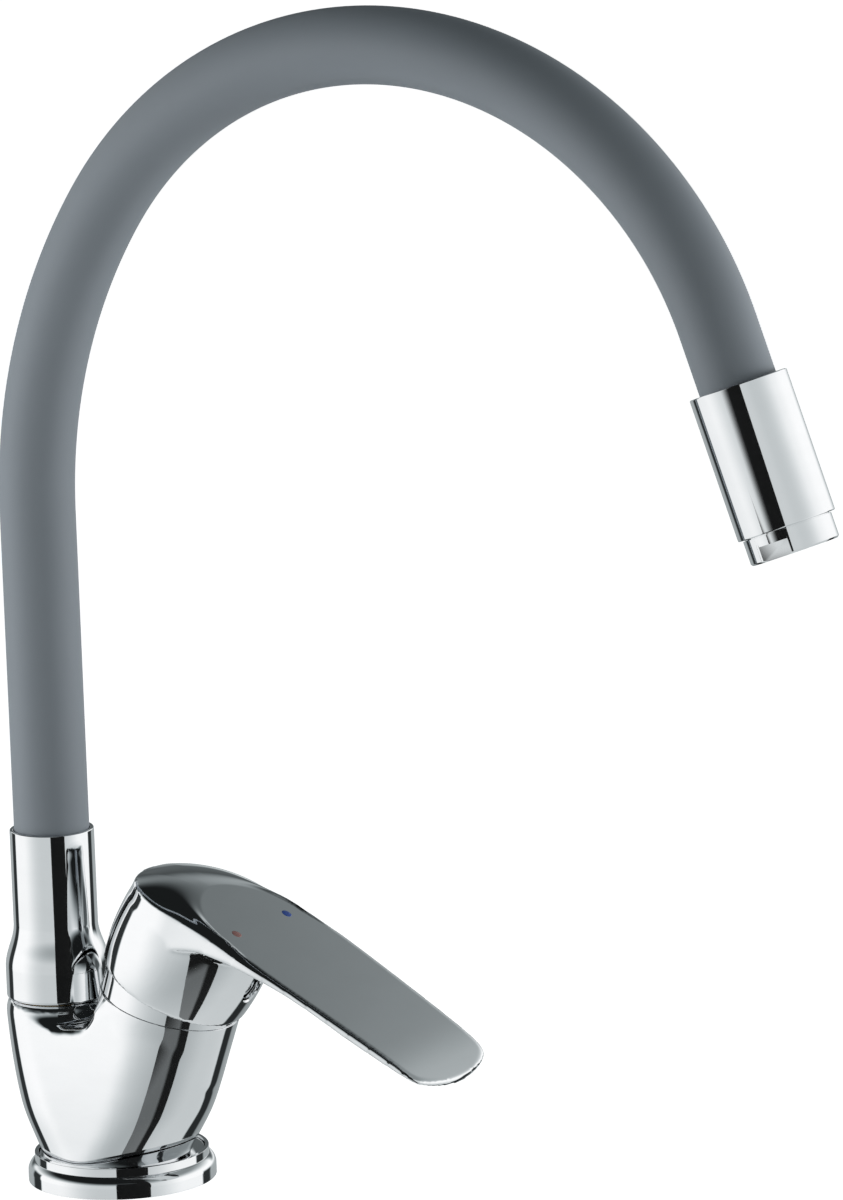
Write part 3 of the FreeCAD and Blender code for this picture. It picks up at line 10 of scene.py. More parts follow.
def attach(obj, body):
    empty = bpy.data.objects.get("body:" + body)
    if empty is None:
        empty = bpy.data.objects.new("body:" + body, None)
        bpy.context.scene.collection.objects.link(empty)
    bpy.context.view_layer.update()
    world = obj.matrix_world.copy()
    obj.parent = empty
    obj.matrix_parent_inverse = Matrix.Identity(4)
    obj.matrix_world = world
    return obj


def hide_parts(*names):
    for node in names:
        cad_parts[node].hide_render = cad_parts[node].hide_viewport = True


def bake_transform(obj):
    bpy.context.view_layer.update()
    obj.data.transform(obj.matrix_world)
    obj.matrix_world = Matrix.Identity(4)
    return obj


bl_info = {
    "name": "Kitchen Mixer Tap",
    "version": (1, 0, 0),
    "blender": (4, 5, 0),
    "location": "View3D > Sidebar > Tap",
    "description": "Dresses the packed mixer tap: chrome castings, silicone hose, marks and a stage",
    "category": "Object",
}

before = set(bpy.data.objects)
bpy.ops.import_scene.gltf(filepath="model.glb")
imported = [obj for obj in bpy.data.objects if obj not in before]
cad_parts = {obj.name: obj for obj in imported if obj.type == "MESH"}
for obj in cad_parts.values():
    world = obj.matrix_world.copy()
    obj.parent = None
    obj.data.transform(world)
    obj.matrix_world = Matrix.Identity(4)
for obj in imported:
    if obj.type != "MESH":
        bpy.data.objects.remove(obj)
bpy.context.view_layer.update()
MM = 0.001
FULL_TURN = 2 * math.pi


# Places: frames on the middle plane, in millimetres and degrees about Y


def on_middle_plane(x, z, turn=0.0):
    return Matrix.Translation((x * MM, 0, z * MM)) @ Matrix.Rotation(math.radians(turn), 4, "Y")


COLLAR_X = -19.3
CARTRIDGE_LEAN = 17.0
LEVER_LEAN = 29.0
OUTLET_LEAN = 20.0
LEVER_PIVOT = (20.4, 59.2)
PIVOT_RISE = 6.0
CARTRIDGE_RIM = (18.6458, 53.4622)
OUTLET_TOP = (208.0, 241.84)
DECK = Matrix.Identity(4)
SPOUT = on_middle_plane(COLLAR_X, 0)
CARTRIDGE = on_middle_plane(*CARTRIDGE_RIM, CARTRIDGE_LEAN)
LEVER = on_middle_plane(*LEVER_PIVOT, LEVER_LEAN)
OUTLET = on_middle_plane(*OUTLET_TOP, -OUTLET_LEAN)
FACING_X = Matrix.Rotation(math.pi / 2, 4, "Y")
FACING_Y = Matrix.Rotation(math.pi / 2, 4, "X")


# Settings that a user would change


class TapSizes(bpy.types.PropertyGroup):
    """Sizes of the dressed pieces"""

    edge_round: FloatProperty(
        name="Edge rounding", description="Rounding of the chrome rims", default=0.00035, unit="LENGTH"
    )
    hose_dia: FloatProperty(
        name="Hose", description="Silicone hose across", default=0.0216, unit="LENGTH"
    )
    casting_grain: FloatProperty(
        name="Casting grain", description="Voxel size of the body casting", default=0.00045, unit="LENGTH"
    )
    lever_grain: FloatProperty(
        name="Lever grain", description="Voxel size of the lever casting", default=0.00048, unit="LENGTH"
    )
    lens: FloatProperty(
        name="Lens", description="Focal length of the studio camera, in millimetres", default=238.59
    )


class TapFinish(bpy.types.PropertyGroup):
    """Colours of the finishes"""

    chrome: FloatVectorProperty(
        name="Chrome", description="Tint of the chrome plating",
        subtype="COLOR", size=3, default=(0.86, 0.87, 0.88),
    )
    silicone: FloatVectorProperty(
        name="Silicone", description="Grey of the spout hose",
        subtype="COLOR", size=3, default=(0.25, 0.28, 0.31),
    )
    hot: FloatVectorProperty(
        name="Hot mark", description="Red of the hot mark",
        subtype="COLOR", size=3, default=(0.355, 0.173, 0.156),
    )
    cold: FloatVectorProperty(
        name="Cold mark", description="Blue of the cold mark",
        subtype="COLOR", size=3, default=(0.028, 0.085, 0.38),
    )


def sizes():
    return bpy.context.scene.tap_sizes


def finish():
    return bpy.context.scene.tap_finish


# Shader maths

GRAIN_DEPTH = 0.1 * MM


class Value:
    """An output socket; arithmetic on it adds Math nodes to its tree."""

    def __init__(self, shader, socket):
        self.shader = shader
        self.socket = socket

    def __add__(self, other):
        return self.shader.maths("ADD", self, other)

    def __sub__(self, other):
        return self.shader.maths("SUBTRACT", self, other)

    def __rsub__(self, other):
        return self.shader.maths("SUBTRACT", other, self)

    def __mul__(self, other):
        return self.shader.maths("MULTIPLY", self, other)

    __radd__ = __add__
    __rmul__ = __mul__


def shaded(colour, factor):
    return tuple(min(1.0, part * factor) for part in colour)


class Shader:
    """A node tree, filled through one method that makes nodes."""

    def __init__(self, owner):
        owner.use_nodes = True
        self.tree = owner.node_tree
        self.tree.nodes.clear()

    def node(self, kind, settings=None, inputs=None):
        node = self.tree.nodes.new(kind)
        for name, setting in (settings or {}).items():
            setattr(node, name, setting)
        for key, given in (inputs or {}).items():
            if isinstance(given, Value):
                self.tree.links.new(given.socket, node.inputs[key])
            else:
                node.inputs[key].default_value = given
        return node

    def value(self, kind, settings=None, inputs=None, output=0):
        return Value(self, self.node(kind, settings, inputs).outputs[output])

    def maths(self, operation, *terms):
        return self.value("ShaderNodeMath", {"operation": operation}, dict(enumerate(terms)))

    def place(self):
        return self.value("ShaderNodeTexCoord", output="Object")

    def axes(self, vector):
        parts = self.node("ShaderNodeSeparateXYZ", inputs={"Vector": vector})
        return [Value(self, socket) for socket in parts.outputs]

    def camera_ray(self):
        return self.value("ShaderNodeLightPath", output="Is Camera Ray")

    def noise(self, scale, detail=3.0, stretch=(1, 1, 1)):
        """Noise over the piece; scale counts its lumps per metre."""
        at = self.value("ShaderNodeMapping", inputs={"Vector": self.place(), "Scale": stretch})
        return self.value("ShaderNodeTexNoise", inputs={"Vector": at, "Scale": scale, "Detail": detail})

    def eased(self, value, low, high):
        """0 up to the low limit, 1 from the high one, and a smooth rise between them."""
        inputs = {"Value": value, "From Min": low, "From Max": high}
        return self.value("ShaderNodeMapRange", {"interpolation_type": "SMOOTHSTEP"}, inputs)

    def mixed(self, factor, first, second):
        """A colour between two, on the colour sockets of a Mix node."""
        inputs = {"Factor": factor, 6: (*first, 1), 7: (*second, 1)}
        return self.value("ShaderNodeMix", {"data_type": "RGBA"}, inputs, 2)

    def varied(self, colour, mask, darkest, lightest):
        """A colour whose shade follows a mask."""
        return self.mixed(mask, shaded(colour, darkest), shaded(colour, lightest))

    def bump(self, height, strength):
        inputs = {"Height": height, "Strength": strength, "Distance": GRAIN_DEPTH}
        return self.value("ShaderNodeBump", inputs=inputs)

    def surface(self, **inputs):
        named = {key.replace("_", " ").title(): given for key, given in inputs.items()}
        self.end(self.value("ShaderNodeBsdfPrincipled", inputs=named))

    def end(self, shader):
        self.node("ShaderNodeOutputMaterial", inputs={"Surface": shader})


def new_material(name):
    material = bpy.data.materials.new(name)
    return material, Shader(material)


def chrome_material():
    """Bright plating with faint wiping marks and a fine change of polish."""
    material, shader = new_material("chrome")
    wiped = shader.noise(scale=60, detail=4, stretch=(1, 1, 3))
    fine = shader.noise(scale=2400, detail=2)
    shader.surface(
        base_color=shader.varied(finish().chrome, wiped, darkest=0.96, lightest=1.03),
        metallic=1.0,
        roughness=0.02 + wiped * 0.03 + fine * 0.012,
    )
    return material


def silicone_material():
    """Satin silicone with a skin of fine grain and slow changes of tone along the hose."""
    material, shader = new_material("silicone")
    cloud = shader.noise(scale=24)
    grain = shader.noise(scale=2600, detail=2)
    shader.surface(
        base_color=shader.varied(finish().silicone, cloud, darkest=0.93, lightest=1.07),
        roughness=0.46 + cloud * 0.08 + grain * 0.05,
        normal=shader.bump(grain, strength=0.12),
    )
    return material


def plain_material(name, colour, roughness):
    """Rubber or moulded plastic with fine grain: slight changes of tone, roughness and relief."""
    material, shader = new_material(name)
    lumps = shader.noise(scale=900)
    slow = shader.noise(scale=45, detail=2)
    shader.surface(
        base_color=shader.varied(colour, slow, darkest=0.88, lightest=1.1),
        roughness=(roughness - 0.05) + lumps * 0.1,
        normal=shader.bump(lumps, strength=0.15),
    )
    return material


def drawn_metal_material(name, colour, roughness):
    """Turned or drawn metal with fine lines round the piece."""
    material, shader = new_material(name)
    lines = shader.noise(scale=500, detail=2, stretch=(1, 1, 12))
    slow = shader.noise(scale=40, detail=2)
    shader.surface(
        base_color=shader.varied(colour, slow, darkest=0.86, lightest=1.08),
        metallic=1.0,
        roughness=(roughness - 0.06) + lines * 0.12,
        normal=shader.bump(lines, strength=0.2),
    )
    return material


def ceramic_material():
    """Lapped white ceramic with a faint mottle."""
    material, shader = new_material("white_ceramic")
    mottle = shader.noise(scale=1200, detail=4)
    shader.surface(
        base_color=shader.mixed(mottle, (0.80, 0.79, 0.75), (0.90, 0.89, 0.86)),
        roughness=0.12 + mottle * 0.1,
    )
    return material


def paint_material(name, colour):
    """Paint in a small recess, with a slightly uneven coat."""
    material, shader = new_material(name)
    uneven = shader.noise(scale=1500)
    shader.surface(
        base_color=shader.varied(colour, uneven, darkest=0.85, lightest=1.15),
        roughness=0.28 + uneven * 0.1,
        normal=shader.bump(uneven, strength=0.1),
    )
    return material


MATERIALS = {
    "chrome": chrome_material,
    "grey_silicone": silicone_material,
    "black_rubber": lambda: plain_material("black_rubber", (0.018, 0.018, 0.02), 0.6),
    "slide_plastic": lambda: plain_material("slide_plastic", (0.12, 0.12, 0.125), 0.45),
    "raw_brass": lambda: drawn_metal_material("raw_brass", (0.74, 0.53, 0.25), 0.3),
    "screw_steel": lambda: drawn_metal_material("screw_steel", (0.42, 0.42, 0.43), 0.34),
    "gooseneck_steel": lambda: drawn_metal_material("gooseneck_steel", (0.55, 0.55, 0.56), 0.3),
    "tube_plastic": lambda: plain_material("tube_plastic", (0.75, 0.77, 0.78), 0.35),
    "aerator_plastic": lambda: plain_material("aerator_plastic", (0.55, 0.56, 0.57), 0.4),
    "cartridge_plastic": lambda: plain_material("cartridge_plastic", (0.30, 0.31, 0.33), 0.45),
    "white_ceramic": ceramic_material,
    "red_mark": lambda: paint_material("red_mark", finish().hot),
    "blue_mark": lambda: paint_material("blue_mark", finish().cold),
}
made_materials = {}


def coat(thing, slot):
    """Give an object the material of a slot, which is made once."""
    if slot not in made_materials:
        made_materials[slot] = MATERIALS[slot]()
    thing.data.materials.clear()
    thing.data.materials.append(made_materials[slot])


# Meshes

SAME_POINT = 1e-7
NEAR_POINT = 1e-6
NO_AREA = 1e-13
TURN_STEPS = 160
CYLINDER_STEPS = 192
ROUNDED_FROM = math.radians(28)
ROUND_SEGMENTS = 3
FACE_WEIGHT = 60
SLIVER = 0.04 * MM
SLIVER_EDGE = 0.01 * MM
SHARP_FROM = math.radians(32)
SMOOTHING = 0.5
BENT_FROM = 0.2
ROUNDER_RINGS = 4
ROUNDER_SMOOTHINGS = 40


def arc(middle, radius, first, last, steps):
    """Points on an arc in the turning plane, between two angles in degrees from the outward direction."""
    turn = math.radians(last - first) / steps
    start = math.radians(first)
    return [
        (middle[0] + radius * math.cos(start + turn * i), middle[1] + radius * math.sin(start + turn * i))
        for i in range(steps + 1)
    ]


def ring_of_edges(bm, points):
    verts = [bm.verts.new(point) for point in points]
    return verts, [bm.edges.new(pair) for pair in zip(verts, verts[1:] + verts[:1])]


def turned(outline, steps=TURN_STEPS):
    """Spin a closed outline of (radius, height) points, in millimetres, into a ring or a solid."""
    bm = bmesh.new()
    verts, edges = ring_of_edges(bm, [(r * MM, 0, h * MM) for r, h in outline])
    bmesh.ops.spin(
        bm, geom=verts + edges, axis=(0, 0, 1), cent=(0, 0, 0), angle=FULL_TURN, steps=steps, use_merge=True
    )
    bmesh.ops.remove_doubles(bm, verts=bm.verts, dist=SAME_POINT)
    flat = [face for face in bm.faces if face.calc_area() < NO_AREA]
    bmesh.ops.delete(bm, geom=flat, context="FACES")
    bmesh.ops.recalc_face_normals(bm, faces=bm.faces)
    return bm


def soften(bm, width):
    """Round the edges where faces meet at a clear angle."""
    edges = [edge for edge in bm.edges if edge.is_manifold and edge.calc_face_angle() > ROUNDED_FROM]
    bmesh.ops.bevel(
        bm, geom=edges, offset=width, offset_type="OFFSET", segments=ROUND_SEGMENTS, profile=0.5,
        affect="EDGES", material=-1, clamp_overlap=True,
    )


def shade_smooth(bm):
    for face in bm.faces:
        face.smooth = True


def made_object(name, bm, place=DECK):
    """Turn a bmesh into an object at the origin, its place in its mesh."""
    bmesh.ops.transform(bm, matrix=place, verts=bm.verts)
    shade_smooth(bm)
    mesh = bpy.data.meshes.new(name)
    bm.to_mesh(mesh)
    bm.free()
    thing = bpy.data.objects.new(name, mesh)
    bpy.context.scene.collection.objects.link(thing)
    return thing


@contextmanager
def edited(thing):
    """A bmesh of an object's mesh, which is written back in the end."""
    bm = bmesh.new()
    bm.from_mesh(thing.data)
    yield bm
    bm.to_mesh(thing.data)
    bm.free()


def dressed(thing, slot, body, node):
    """Give a piece its finish and its body, and let it stand for a CAD node."""
    coat(thing, slot)
    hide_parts(node)
    if body:
        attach(thing, body)
    return thing


def even_normals(thing):
    """Let large faces rule the shading beside small roundings."""
    weighted = thing.modifiers.new("even_normals", "WEIGHTED_NORMAL")
    weighted.weight = FACE_WEIGHT
    weighted.keep_sharp = True
    return thing


def crisp_edges(thing):
    """Merge the slivers that cutting leaves and keep the cut edges sharp."""
    with edited(thing) as bm:
        bmesh.ops.remove_doubles(bm, verts=bm.verts, dist=SLIVER)
        bmesh.ops.dissolve_degenerate(bm, edges=bm.edges, dist=SLIVER_EDGE)
        for edge in bm.edges:
            edge.smooth = not (edge.is_manifold and edge.calc_face_angle() > SHARP_FROM)
    return thing


def ring_piece(name, outline, place, body, node):
    """A turned chrome piece with rounded rims."""
    bm = turned(outline)
    soften(bm, sizes().edge_round)
    return dressed(even_normals(made_object(name, bm, place)), "chrome", body, node)


def evaluated(thing):
    """Apply an object's modifiers to its mesh."""
    depsgraph = bpy.context.evaluated_depsgraph_get()
    mesh = bpy.data.meshes.new_from_object(thing.evaluated_get(depsgraph))
    thing.modifiers.clear()
    old = thing.data
    thing.data = mesh
    bpy.data.meshes.remove(old)
    return thing


def carved(thing, operation, tool):
    """Join, cut or intersect an object with another, which is used up."""
    boolean = thing.modifiers.new("carve", "BOOLEAN")
    boolean.operation = operation
    boolean.solver = "EXACT"
    boolean.object = tool
    evaluated(thing)
    bpy.data.objects.remove(tool)
    return thing


def gathered(name, things):
    """Put the meshes of several objects into one, which takes their place."""
    bm = bmesh.new()
    for thing in things:
        bm.from_mesh(thing.data)
        bpy.data.objects.remove(thing)
    return made_object(name, bm)


def smoothed(bm, verts, times):
    for _ in range(times):
        bmesh.ops.smooth_vert(
            bm, verts=verts, factor=SMOOTHING, use_axis_x=True, use_axis_y=True, use_axis_z=True
        )


def cast(thing, grain, smoothings, rounder=None):
    """Fuse overlapping solids into one skin and smooth it, with larger roundings where asked for."""
    remesh = thing.modifiers.new("fuse", "REMESH")
    remesh.mode = "VOXEL"
    remesh.voxel_size = grain
    evaluated(thing)
    with edited(thing) as bm:
        smoothed(bm, bm.verts, smoothings)
        if rounder:
            crisp = {
                vert
                for edge in bm.edges
                if rounder(edge.verts[0].co / MM) and edge.is_manifold and edge.calc_face_angle() > BENT_FROM
                for vert in edge.verts
            }
            for _ in range(ROUNDER_RINGS):
                crisp |= {edge.other_vert(vert) for vert in crisp for edge in vert.link_edges}
            smoothed(bm, list(crisp), ROUNDER_SMOOTHINGS)
        shade_smooth(bm)
    return thing


def cylinder(name, place, radius, low, high, top_radius=None, steps=CYLINDER_STEPS):
    top = radius if top_radius is None else top_radius
    return made_object(name, turned([(0, low), (radius, low), (top, high), (0, high)], steps), place)


def grown(bm, edges):
    """Extrude a rim; gives its new vertices and edges."""
    made = bmesh.ops.extrude_edge_only(bm, edges=edges)["geom"]
    verts = {item for item in made if isinstance(item, bmesh.types.BMVert)}
    return verts, [item for item in made if isinstance(item, bmesh.types.BMEdge) and set(item.verts) <= verts]


def lofted(name, loops):
    """Extrude an outline from station to station and close both ends."""
    bm = bmesh.new()
    verts, edges = ring_of_edges(bm, loops[0])
    bmesh.ops.contextual_create(bm, geom=edges)
    for loop in loops[1:]:
        fresh, edges = grown(bm, edges)
        verts = [
            next(edge.other_vert(vert) for edge in vert.link_edges if edge.other_vert(vert) in fresh)
            for vert in verts
        ]
        for vert, point in zip(verts, loop):
            vert.co = point
    bmesh.ops.contextual_create(bm, geom=edges)
    bmesh.ops.recalc_face_normals(bm, faces=bm.faces)
    return made_object(name, bm)


def through(stations, at):
    """A smooth value through (place, value) stations: cubic stretches with the slopes between neighbours."""
    if at <= stations[0][0]:
        return stations[0][1]
    if at >= stations[-1][0]:
        return stations[-1][1]
    slopes = []
    for i in range(len(stations)):
        before = stations[max(i - 1, 0)]
        after = stations[min(i + 1, len(stations) - 1)]
        slopes.append((after[1] - before[1]) / (after[0] - before[0]))
    for (a, va), (b, vb), ma, mb in zip(stations, stations[1:], slopes, slopes[1:]):
        if at <= b:
            span = b - a
            t = (at - a) / span
            rise = vb - va
            return va + t * (
                span * ma + t * (3 * rise - span * (2 * ma + mb) + t * (span * (ma + mb) - 2 * rise))
            )


# Base ring; sizes of the pieces are in millimetres and degrees

RING_RADIUS = 27.0
RING_BORE = 19.0
RING_TOP = 8.4
NOSE_RADIUS = 3.4
NOSE_HEIGHT = 3.0
NOSE_TURN = 61.9
STEP_RADIUS = 25.0
STEP_HEIGHT = 6.0
RING_SOCKET = 23.9
RING_FLOOR = 3.0


class TAP_OT_base_ring(bpy.types.Operator):
    """Chrome ring that the body stands in, with a rounded nose and a narrow step"""

    bl_idname = "tap.base_ring"
    bl_label = "Base Ring"

    def execute(self, context):
        nose = arc((RING_RADIUS - NOSE_RADIUS, NOSE_HEIGHT), NOSE_RADIUS, 0, NOSE_TURN, steps=14)
        outline = [(RING_BORE, 0), (RING_RADIUS, 0), *nose]
        outline += [(STEP_RADIUS, STEP_HEIGHT), (STEP_RADIUS, RING_TOP)]
        outline += [(RING_SOCKET, RING_TOP), (RING_SOCKET, RING_FLOOR), (RING_BORE, RING_FLOOR)]
        ring_piece("base_ring_chrome", outline, DECK, "base", "base_ring")
        return {"FINISHED"}


# Body

BODY_LEDGE = 7.8
BODY_CREST = 61.0
BODY_HEIGHTS = (BODY_LEDGE, 23.0, 50.4, BODY_CREST)
REAR_X = (-1.7, -9.6, COLLAR_X, COLLAR_X)
REAR_RADIUS = (21.3, 20.2, 15.4, 14.6)
FRONT_X = (-1.3, 8.0, 18.4, 20.6)
FRONT_RADIUS = (21.3, 20.9, 20.0, 20.0)
OUTLINE_ARC_STEPS = 80
OUTLINE_LINE_STEPS = 24
TRUNK_SINK = 3.0
TRUNK_STEPS = 60
FOOT_RADIUS = 23.7

SADDLE_X = -12.0
SADDLE_RADIUS = 70.0
SADDLE_FLOOR = 46.2
SADDLE_HALF = 60.0
SADDLE_STEPS = 512
SCOOP_RADIUS = 17.4
SCOOP_TOP = 120.0
SHOULDER_FOOT = 32.25
SHOULDER_TOP = 20.35
HOUSING_FOOT = 19.5
HOUSING_TOP = 20.5
HOUSING_DEPTH = 20.0
HOUSING_PROUD = 2.0
RIM_CUT_RADIUS = 27.0
RIM_CUT_TOP = 54.0
CARTRIDGE_BORE = 17.6
BORE_DEPTH = 31.0
BORE_TOP = 4.0
SEAT_RADIUS = 13.4
SEAT_HEIGHT = 48.2
SOCKET_RADIUS = 9.5
SOCKET_LOW = 31.0
SOCKET_TOP = 60.0

CHANNEL_ROUND = 9.0
CHANNEL_FLOOR = 45.7
CHANNEL_TURN_X = -5.48
CHANNEL_BACK_X = -46.3
CHANNEL_WALL = 70.0
CHANNEL_HALF = 54.0

NECK_LOW = 44.0
NECK_TOP = 51.8
NECK_FOOT = 21.0
NECK_RIM = 14.2
NECK_FLARE = ((21, 45.4), (18.6, 46.1), (17, 46.7), (15.9, 47.6), (15.2, 48.8), (14.85, 50), (14.7, 51.4))

BODY_SMOOTHINGS = 30
SADDLE_RIM_X = (-26.0, 14.0)
SADDLE_RIM_Z = (43.0, 64.0)
SADDLE_RIM_SIDE = 10.0


def line_between(start, end, steps):
    """Even points between two others, without these."""
    line = Vector(end) - Vector(start)
    return [tuple(Vector(start) + line * (i / steps)) for i in range(1, steps)]


def body_outline(height):
    """The body's outline at a height: a rear and a front arc and the two lines that touch both."""
    rear, rear_radius, front, front_radius = (
        through(tuple(zip(BODY_HEIGHTS, values)), height)
        for values in (REAR_X, REAR_RADIUS, FRONT_X, FRONT_RADIUS)
    )
    touch = math.degrees(math.acos((rear_radius - front_radius) / (front - rear)))
    fore = arc((front, 0), front_radius, -touch, touch, OUTLINE_ARC_STEPS)
    aft = arc((rear, 0), rear_radius, touch, 360 - touch, OUTLINE_ARC_STEPS)
    there = line_between(fore[-1], aft[0], OUTLINE_LINE_STEPS)
    back_again = line_between(aft[-1], fore[0], OUTLINE_LINE_STEPS)
    return [(x * MM, y * MM, height * MM) for x, y in fore + there + aft + back_again]


def body_trunk(name):
    low = BODY_LEDGE - TRUNK_SINK
    rise = (BODY_CREST - low) / TRUNK_STEPS
    return lofted(name, [body_outline(low + rise * i) for i in range(TRUNK_STEPS + 1)])


def on_saddle_rim(at):
    """The rim of the hollow between the arms, which is rounder than the other edges."""
    along = SADDLE_RIM_X[0] < at.x < SADDLE_RIM_X[1]
    return along and abs(at.y) > SADDLE_RIM_SIDE and SADDLE_RIM_Z[0] < at.z < SADDLE_RIM_Z[1]


class TAP_OT_body(bpy.types.Operator):
    """Chrome body casting: a stalk that opens into the spout seat and the cartridge housing"""

    bl_idname = "tap.body"
    bl_label = "Body"

    def execute(self, context):
        parts = [self.arms(), self.shoulders(), self.housing(), self.neck()]
        body = gathered("mixer_body_chrome", parts)
        cast(body, sizes().casting_grain, BODY_SMOOTHINGS, on_saddle_rim)
        for cut in (
            cylinder("above_rim", CARTRIDGE, RIM_CUT_RADIUS, 0, RIM_CUT_TOP),
            cylinder("cartridge_bore", CARTRIDGE, CARTRIDGE_BORE, -BORE_DEPTH, BORE_TOP),
            cylinder("swivel_seat", SPOUT, SEAT_RADIUS, SEAT_HEIGHT, SOCKET_TOP),
            cylinder("spout_socket", SPOUT, SOCKET_RADIUS, SOCKET_LOW, SOCKET_TOP),
        ):
            carved(body, "DIFFERENCE", cut)
        carved(body, "UNION", self.foot())
        dressed(even_normals(crisp_edges(body)), "chrome", "base", "mixer_body")
        return {"FINISHED"}

    def arms(self):
        """The trunk under a wide saddle, which leaves an arm on each side."""
        middle = Matrix.Translation((SADDLE_X * MM, 0, (SADDLE_FLOOR + SADDLE_RADIUS) * MM))
        saddle = cylinder(
            "saddle", middle @ FACING_Y, SADDLE_RADIUS, -SADDLE_HALF, SADDLE_HALF, steps=SADDLE_STEPS
        )
        return carved(body_trunk("arms"), "DIFFERENCE", saddle)

    def shoulders(self):
        """The trunk's front, drawn in to the cartridge housing and hollowed towards the spout."""
        flare = cylinder("flare", CARTRIDGE, SHOULDER_FOOT, -BORE_DEPTH, 0, SHOULDER_TOP)
        shoulders = carved(body_trunk("shoulders"), "INTERSECT", flare)
        carved(shoulders, "DIFFERENCE", cylinder("scoop", SPOUT, SCOOP_RADIUS, SADDLE_FLOOR, SCOOP_TOP))
        return carved(shoulders, "DIFFERENCE", self.channel())

    def housing(self):
        """The round wall of the cartridge, proud of its rim until that is cut."""
        return cylinder("housing", CARTRIDGE, HOUSING_FOOT, -HOUSING_DEPTH, HOUSING_PROUD, HOUSING_TOP)

    def foot(self):
        """The round foot in the base ring."""
        outline = [(0, RING_FLOOR), (FOOT_RADIUS, RING_FLOOR), (FOOT_RADIUS, BODY_LEDGE), (0, BODY_LEDGE)]
        bm = turned(outline)
        soften(bm, sizes().edge_round)
        return made_object("foot", bm)

    def channel(self):
        """The hollow across the body: a level floor that turns up, in a round, into the housing's wall."""
        lean = math.radians(CARTRIDGE_LEAN)
        middle = (CHANNEL_TURN_X, CHANNEL_FLOOR + CHANNEL_ROUND)
        bend = arc(middle, CHANNEL_ROUND, -90, -CARTRIDGE_LEAN, steps=24)
        end = Vector(bend[-1]) + Vector((math.sin(lean), math.cos(lean))) * CHANNEL_WALL
        outline = [(CHANNEL_BACK_X, CHANNEL_FLOOR), *bend, tuple(end), (CHANNEL_BACK_X, end.y)]
        sides = (CHANNEL_HALF, -CHANNEL_HALF)
        return lofted("channel", [[(x * MM, y * MM, z * MM) for x, z in outline] for y in sides])

    def neck(self):
        """The body rises round the swivel and flares into its arms."""
        outline = [(0, NECK_LOW), (NECK_FOOT, NECK_LOW), *NECK_FLARE, (NECK_RIM, NECK_TOP), (0, NECK_TOP)]
        neck = made_object("neck", turned(outline, CYLINDER_STEPS), SPOUT)
        return carved(neck, "INTERSECT", body_trunk("neck_limit"))


# Cartridge cover

COVER_RADIUS = 20.0
COVER_TURN = 41.4
COVER_BORE = 18.4
COVER_BORE_TURN = 35.4
COVER_LIP = 18.05
COVER_LIP_HEIGHT = 2.5


class TAP_OT_cartridge_cover(bpy.types.Operator):
    """Chrome cover ring under the lever, rounded about the lever's pivot"""

    bl_idname = "tap.cartridge_cover"
    bl_label = "Cartridge Cover"

    def execute(self, context):
        outer = arc((0, PIVOT_RISE), COVER_RADIUS, 0, COVER_TURN, steps=24)
        inner = arc((0, PIVOT_RISE), COVER_BORE, COVER_BORE_TURN, 0, steps=24)
        outline = [(COVER_LIP, 0), (COVER_RADIUS, 0), *outer, *inner]
        outline += [(COVER_BORE, COVER_LIP_HEIGHT), (COVER_LIP, COVER_LIP_HEIGHT)]
        ring_piece("cartridge_cover_chrome", outline, CARTRIDGE, "base", "cartridge_cover")
        return {"FINISHED"}


# Spout

COLLAR_LOW = 51.8
COLLAR_TOP = 100.7
COLLAR_WIDE = 14.9
COLLAR_SLIM = 12.1
COLLAR_BORE = 11.0
COLLAR_FOOT_ROUND = 0.8
COLLAR_FLARE = (60.6, 73.2)
COLLAR_FLARE_STEPS = 28
COLLAR_RECESS = 13.05
COLLAR_RECESS_TOP = 53.0


class TAP_OT_spout_collar(bpy.types.Operator):
    """Chrome collar of the spout, with a flared foot"""

    bl_idname = "tap.spout_collar"
    bl_label = "Spout Collar"

    def execute(self, context):
        low, high = COLLAR_FLARE
        shares = [i / COLLAR_FLARE_STEPS for i in range(COLLAR_FLARE_STEPS + 1)]
        flare = [
            (
                COLLAR_WIDE + (COLLAR_SLIM - COLLAR_WIDE) * (0.5 - 0.5 * math.cos(math.pi * share)),
                low + (high - low) * share,
            )
            for share in shares
        ]
        middle = (COLLAR_WIDE - COLLAR_FOOT_ROUND, COLLAR_LOW + COLLAR_FOOT_ROUND)
        foot = arc(middle, COLLAR_FOOT_ROUND, -90, 0, steps=8)
        outline = [(COLLAR_RECESS, COLLAR_LOW), *foot, *flare, (COLLAR_SLIM, COLLAR_TOP)]
        outline += [(COLLAR_BORE, COLLAR_TOP), (COLLAR_BORE, COLLAR_RECESS_TOP)]
        outline += [(COLLAR_RECESS, COLLAR_RECESS_TOP)]
        ring_piece("spout_collar_chrome", outline, SPOUT, "spout", "spout_collar")
        return {"FINISHED"}


HOSE_LOW = 76.2
HOSE_RISE = 192.6
RISE_STEPS = 40
# Radius, turn and steps of each bend
BENDS = ((158.5, 34.0, 40), (110.0, 126.0, 96))
HOSE_END = 34.1
END_STEPS = 12
# Name, depth under the hose's surface, wall, slot, CAD node and sides of each tube
TUBES = (
    ("silicone_hose", 0.01, 2.1, "grey_silicone", "spout_hose", 96),
    ("gooseneck_tube", 2.3, 2.2, "gooseneck_steel", "spout_gooseneck", 48),
    ("inner_water_tube", 4.7, 1.6, "tube_plastic", "water_tube", 40),
)


def run_straight(bm, rim, heading, length, steps):
    """Extrude a rim straight on."""
    for _ in range(steps):
        verts, rim = grown(bm, rim)
        bmesh.ops.translate(bm, verts=list(verts), vec=heading * (length * MM / steps))
    return rim


